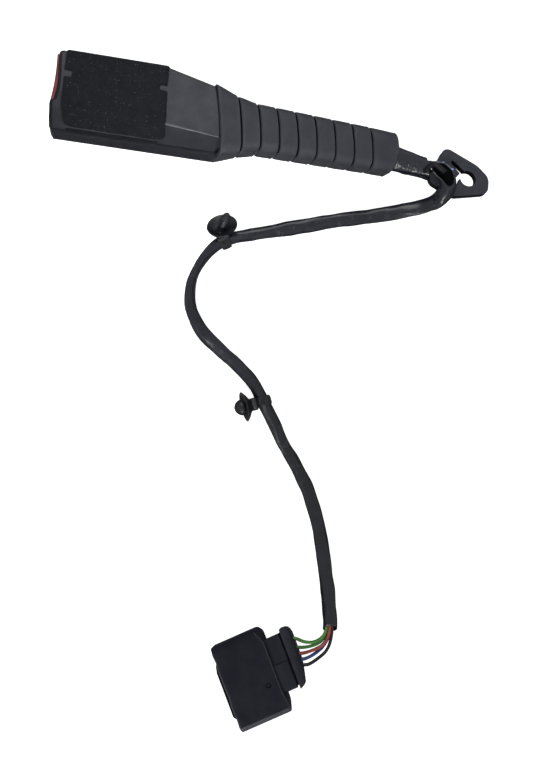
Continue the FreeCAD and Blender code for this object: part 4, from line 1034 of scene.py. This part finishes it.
BOOT_FRONT = HEAD_LENGTH + 0.8
BOOT_STATIONS = [BOOT_FRONT, BOOT_FRONT + 12.7, BOOT_FRONT + 24.1]
for _ in range(6):
    BOOT_STATIONS.append(BOOT_STATIONS[-1] + 10.8)
BOOT_STATIONS.append(BOOT_STATIONS[-1] + 15.5)
KNOTS = [BOOT_STATIONS[i] for i in (0, 1, 2, -2, -1)]
BOOT_WIDTH = [39.8, 31.4, 26.6, 23.6, 22.8]
BOOT_HEIGHT = [24.6, 22.2, 20.6, 19.4, 19.0]
BOOT_CENTRE = [-2.2, -2.3, -1.9, -2.9, -3.4]
BOOT_TABLE = list(zip(KNOTS, BOOT_WIDTH, BOOT_HEIGHT, BOOT_CENTRE))


def boot_ring(x0, inset, corner=5.2):
    """A slanted ring of the boot; the first ring has a lip by the crease, and the last a long side."""
    width, height, centre = table(BOOT_TABLE, x0)
    middle = height / 2 + 0.15
    half, rise = width / 2 - inset, height / 2 - inset
    radius = min(max(0.8, corner - inset), rise - 0.1)
    first = max(0.0, 1 - (x0 - BOOT_FRONT) / 12.0)
    spots = []
    for p in filled(rounded([(half * a, rise * b, radius) for a, b in SQUARE]), 6):
        lip = first * ease(0.0, -half, p.x) * ease(6.0, -rise, p.y)
        y = centre + p.x - 1.1 * lip
        tip = ease(BOOT_STATIONS[-1] - 12, BOOT_STATIONS[-1], x0) * max(0.0, 2.0 - p.x) * 0.26
        spots.append((slanted(x0, y, middle + p.y, width / 2) - 1.9 * lip - tip, y, middle + p.y))
    return spots


# nine rings, each rounded at both ends, with a deep groove between two
rings, pits = [], []
for i in range(9):
    low, high = BOOT_STATIONS[i], BOOT_STATIONS[i + 1]
    first, last = i == 0, i == 8
    a = low + (0.1 if first else 0.5)
    b = high - (0.1 if last else 0.5)
    steps = [(a, 1.1), (a + 0.1, 0.55), (a + 0.4, 0.16), (a + 0.9, 0.0)]
    steps += [(between(a + 0.9, b - 1.4, k / 4), -0.1 * math.sin(math.pi * k / 4)) for k in (1, 2, 3)]
    steps += [(b - 1.4, 0.0), (b - 1.0, -0.12), (b - 0.55, -0.2), (b - 0.2, -0.05), (b, 0.35)]
    if not first:
        pits.append(boot_ring(a - 0.02, 2.3))
        rings.append(pits[-1])
    rings += [boot_ring(x, inset) for x, inset in steps]
    if not last:
        pits.append(boot_ring(b + 0.02, 2.3))
        rings.append(pits[-1])
end = BOOT_STATIONS[-1]
hole = [(slanted(end - 0.3, y, z), y, z) for _, y, z in boot_ring(end, 3.6, 9.0)]
rings.append(hole)
inner = [boot_ring(end - 3.0, 3.6, 9.0)]
inner += [boot_ring(x, 3.2) for x in (end - 3.1, *KNOTS[3:0:-1], KNOTS[0] + 0.6)]
loop_rings = [boot_ring(KNOTS[0] + 0.1, 2.6)] + rings + inner
points, faces = tube_rings(loop_rings)
count = len(loop_rings[0])
faces = faces[2:]
last_row = len(points) - count
for i in range(count):
    j = (i + 1) % count
    faces.append((last_row + i, last_row + j, j, i))
boot = piece("boot_skin", (points, faces), "boot", "boot", 50)
boot.data.materials.append(M["groove"])
grooves = [i + 1 for i, ring in enumerate(rings) if ring in pits]
for face in boot.data.polygons:
    rows = {v // count for v in face.vertices}
    face.material_index = int(len(rows) == 2 and bool(rows & set(grooves)))

# Anchor plate

PLATE_SHEET = 3.5
BAR = Vector((223.3, -7.8, 8.4))
PLATE_YAW = -34.0
PLATE_OUTLINE = [
    (-18.6, 6.9, 4.5), (3.0, 12.7, 12.0), (12.8, 12.0, 7.0), (18.6, 3.4, 5.0), (5.2, -14.0, 6.0),
    (-12.4, -18.6, 4.5),
]
KEYHOLE_OUTLINE = [
    (-9.9, 3.6, 0.8), (-0.6, 3.6, 0.3), (0.5, -1.6, 0.4), (2.4, -6.9, 1.2), (-2.2, -6.9, 1.2),
    (-1.4, 0.2, 0.6), (-9.9, 1.5, 0.8),
]
ROPE_SLOT = [(-10.0, -5.2, 1.2), (-3.8, -5.2, 1.2), (-3.8, -11.9, 1.2), (-10.0, -11.9, 1.2)]
BOLT_HOLE = [(4.0 + 4.9 * math.cos(t), 1.6 + 4.9 * math.sin(t)) for t in turns(64)]


def plate_axes(yaw, roll=18.5):
    """The directions along a plate, across it and out of its face."""
    along = Vector((math.cos(math.radians(yaw)), math.sin(math.radians(yaw)), 0))
    flat = math.cos(math.radians(roll))
    across = Vector((-along.y * flat, along.x * flat, -math.sin(math.radians(roll))))
    return along, across, along.cross(across)


def plate_slab(outline, low, high):
    """Points and faces of a prism through the plate's thickness."""
    along, across, out = plate_axes(PLATE_YAW)
    origin = BAR + along * 12.3 + across * 8.6
    rings = []
    for height in (low, high):
        rings.append([origin + along * u + across * v + out * height for u, v in outline])
    return tube_rings(rings)


half = PLATE_SHEET / 2
BEYOND = 1.0
slab = plate_slab(rounded(PLATE_OUTLINE, 12), -half, half)
plate = piece("anchor_plate_steel", slab, "plate", "anchor_plate", 40, body="anchor")
for outline in (rounded(KEYHOLE_OUTLINE), rounded(ROPE_SLOT), BOLT_HOLE):
    carve(plate, plate_slab(outline, -half - BEYOND, half + BEYOND))
bevel(plate, 0.55)
shade(plate, 20)
face_way = plate_axes(PLATE_YAW)[2]
# painted shade on the plate's sheared sides and a painted highlight on their rounded edges
paint(plate, "plate_side_painted_shade", lambda c, n: abs(n.dot(face_way)) < 0.3)
paint(plate, "plate_edge_painted_highlight", lambda c, n: 0.3 < abs(n.dot(face_way)) < 0.9)

# Sleeve, rope and lead

SLEEVE_LINE = [
    (172.0, -2.6, 10.1), (184.0, -3.5, 10.0), (199.0, -5.0, 9.8), (208.0, -6.2, 9.6), (217.0, -7.5, 9.3),
]


def sleeve_ring(x, inset, share):
    """One ring of the shrunk sleeve, whose end runs further back on the -y side."""
    x += share * 1.6
    y0, z0 = table(SLEEVE_LINE, x)
    half = between(7.1, 6.3, ease(200.0, 216.0, x)) - inset
    rise = 5.6 - inset
    ring = []
    for p in rounded([(half * a, rise * b, rise - 0.05) for a, b in SQUARE], 12):
        out = p.normalized()
        low = ease(-0.1, -0.75, out.x) * ease(-0.6, 0.1, out.y)
        turn = math.atan2(out.y, -out.x)
        lump = 0.5 * low * noise.noise(Vector((x * 0.55, turn * 2.2, 4.0)))
        lump += 0.16 * low * noise.noise(Vector((x * 1.6, turn * 5.0, 8.0)))
        lump += 0.2 * noise.noise(Vector((x * 0.16, out.x * 2, out.y * 2)))
        lump -= 0.12 * math.exp(-((turn - 2.0) / 0.12) ** 2) + 0.1 * math.exp(-((turn - 1.5) / 0.1) ** 2)
        back = -share * 1.8 * out.x
        ring.append((x + back, y0 + p.x + out.x * lump, z0 + p.y + out.y * lump))
    return ring


steps = [i / 80 for i in range(81)]
grids = [[sleeve_ring(between(172.0, 216.0, share), inset, share) for share in steps]
         for inset in (0.0, 0.65)]
piece("rope_sleeve_skin", thick_sheet(*grids, closed=True), "sleeve", "rope_sleeve", 60)

ROPE_LINE = [(73.0, -1.0, 10.5), (190.0, -2.5, 9.9), (205.0, -4.4, 9.6), (216.8, -5.9, 9.35)]
ROPE_RADIUS = 2.25
BIGHT = 5.85
along, across, out = plate_axes(-24.0)
apart = Vector((0, 0, ROPE_RADIUS + 0.2))
rope_spots = [Vector(p) + apart for p in ROPE_LINE] + [BAR - along + out * BIGHT]
rope_spots += [BAR + along * BIGHT * math.cos(a) + out * BIGHT * math.sin(a)
               for a in (1.2, 0.6, 0.0, -0.6, -1.2)]
rope_spots += [BAR - along - out * BIGHT] + [Vector(p) - apart for p in ROPE_LINE[::-1]]


def strands(raw, radius, count, pitch, step):
    """Rings of a rope whose outside shows its twisted strands."""
    rings = []
    for s, p, ahead, side, up in frames(even(raw, step), level=False):
        ring = []
        for turn in turns(36):
            bulge = abs(math.cos(count / 2 * (turn - 2 * math.pi * s / pitch)))
            size = radius * (0.86 + 0.14 * bulge)
            ring.append(p + side * (size * math.cos(turn)) + up * (size * math.sin(turn)))
        rings.append(ring)
    return rings


rope_rings = strands(route_line([tuple(p) for p in rope_spots]), ROPE_RADIUS, 6, 22.0, 1.2)
piece("anchor_rope_strands", tube_rings(rope_rings), "rope", "anchor_rope", 60)

LEAD_LINE = [
    (58.02, -13.2, 6.7), (66.0, -13.2, 6.7), (75.0, -11.6, 8.6), (85.0, -9.8, 10.6), (97.0, -6.2, 11.0),
    (130.0, -6.4, 10.6), (190.0, -7.3, 10.1), (205.0, -8.9, 10.0), (214.6, -10.1, 10.1), (216.6, -9.9, 15.6),
    (218.4, -6.9, 19.4), (223.2, -8.75, 20.4), (226.4, -11.15, 20.25),
]
LEAD_RADIUS = 1.55
rings = []
for _, p, _, side, up in frames(even(route_line(LEAD_LINE), 1.5), level=False):
    rings.append([p + side * (LEAD_RADIUS * math.cos(t)) + up * (LEAD_RADIUS * math.sin(t))
                  for t in turns(16)])
piece("switch_lead_jacket", tube_rings(rings), "lead", "switch_lead", 60)

# CAD nodes shown as they are

# material and rounding of the edges, in millimetres
KEPT = {
    "release_button": ("button", 0.35), "button_springs": ("spring", 0.0),
    "buckle_frame": ("steel", 0.2), "latch": ("steel", 0.2),
    "latch_spring": ("spring", 0.0), "lock_slider": ("steel", 0.15),
    "ejector": ("white", 0.2), "ejector_spring": ("spring", 0.0),
    "switch_housing": ("white", 0.2), "switch_contacts": ("brass", 0.0),
    "contact_slider": ("brass", 0.05), "rope_ferrule": ("steel", 0.3),
    "connector_terminals": ("brass", 0.1),
}
for name, (material, edge) in KEPT.items():
    obj = nodes[name]
    obj.data.materials.clear()
    obj.data.materials.append(M[material])
    if edge:
        flat_mod = obj.modifiers.new("flat", "DECIMATE")
        flat_mod.decimate_type = "DISSOLVE"
        flat_mod.angle_limit = math.radians(1.0)
        mod = obj.modifiers.new("edge", "BEVEL")
        mod.width = edge / 1000
        mod.segments = 2
        mod.limit_method = "ANGLE"
        mod.angle_limit = math.radians(30)
        mod.harden_normals = True

# the coil springs each get their own copy of the mesh: joint, fixed end and share of the length left
for spring, joint, end, keep in (
    ("button_springs", "button_slide", 42.0, 0.5), ("ejector_spring", "ejector_slide", 66.0, 0.4545),
):
    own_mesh(nodes[spring], joint, axis=(1, 0, 0), anchor=tuple(at(end, 0, 0)), keep=keep)

# Cords

tuple(at(*TUBE_ROUTE[0]))
[tuple(at(*f[1])) for f in tube_frames]
for wire, spots in wires:
    length = sum((b - a).length for a, b in zip(spots, spots[1:])) * 0.97 / 1000
    tuple(at(*spots[0]))
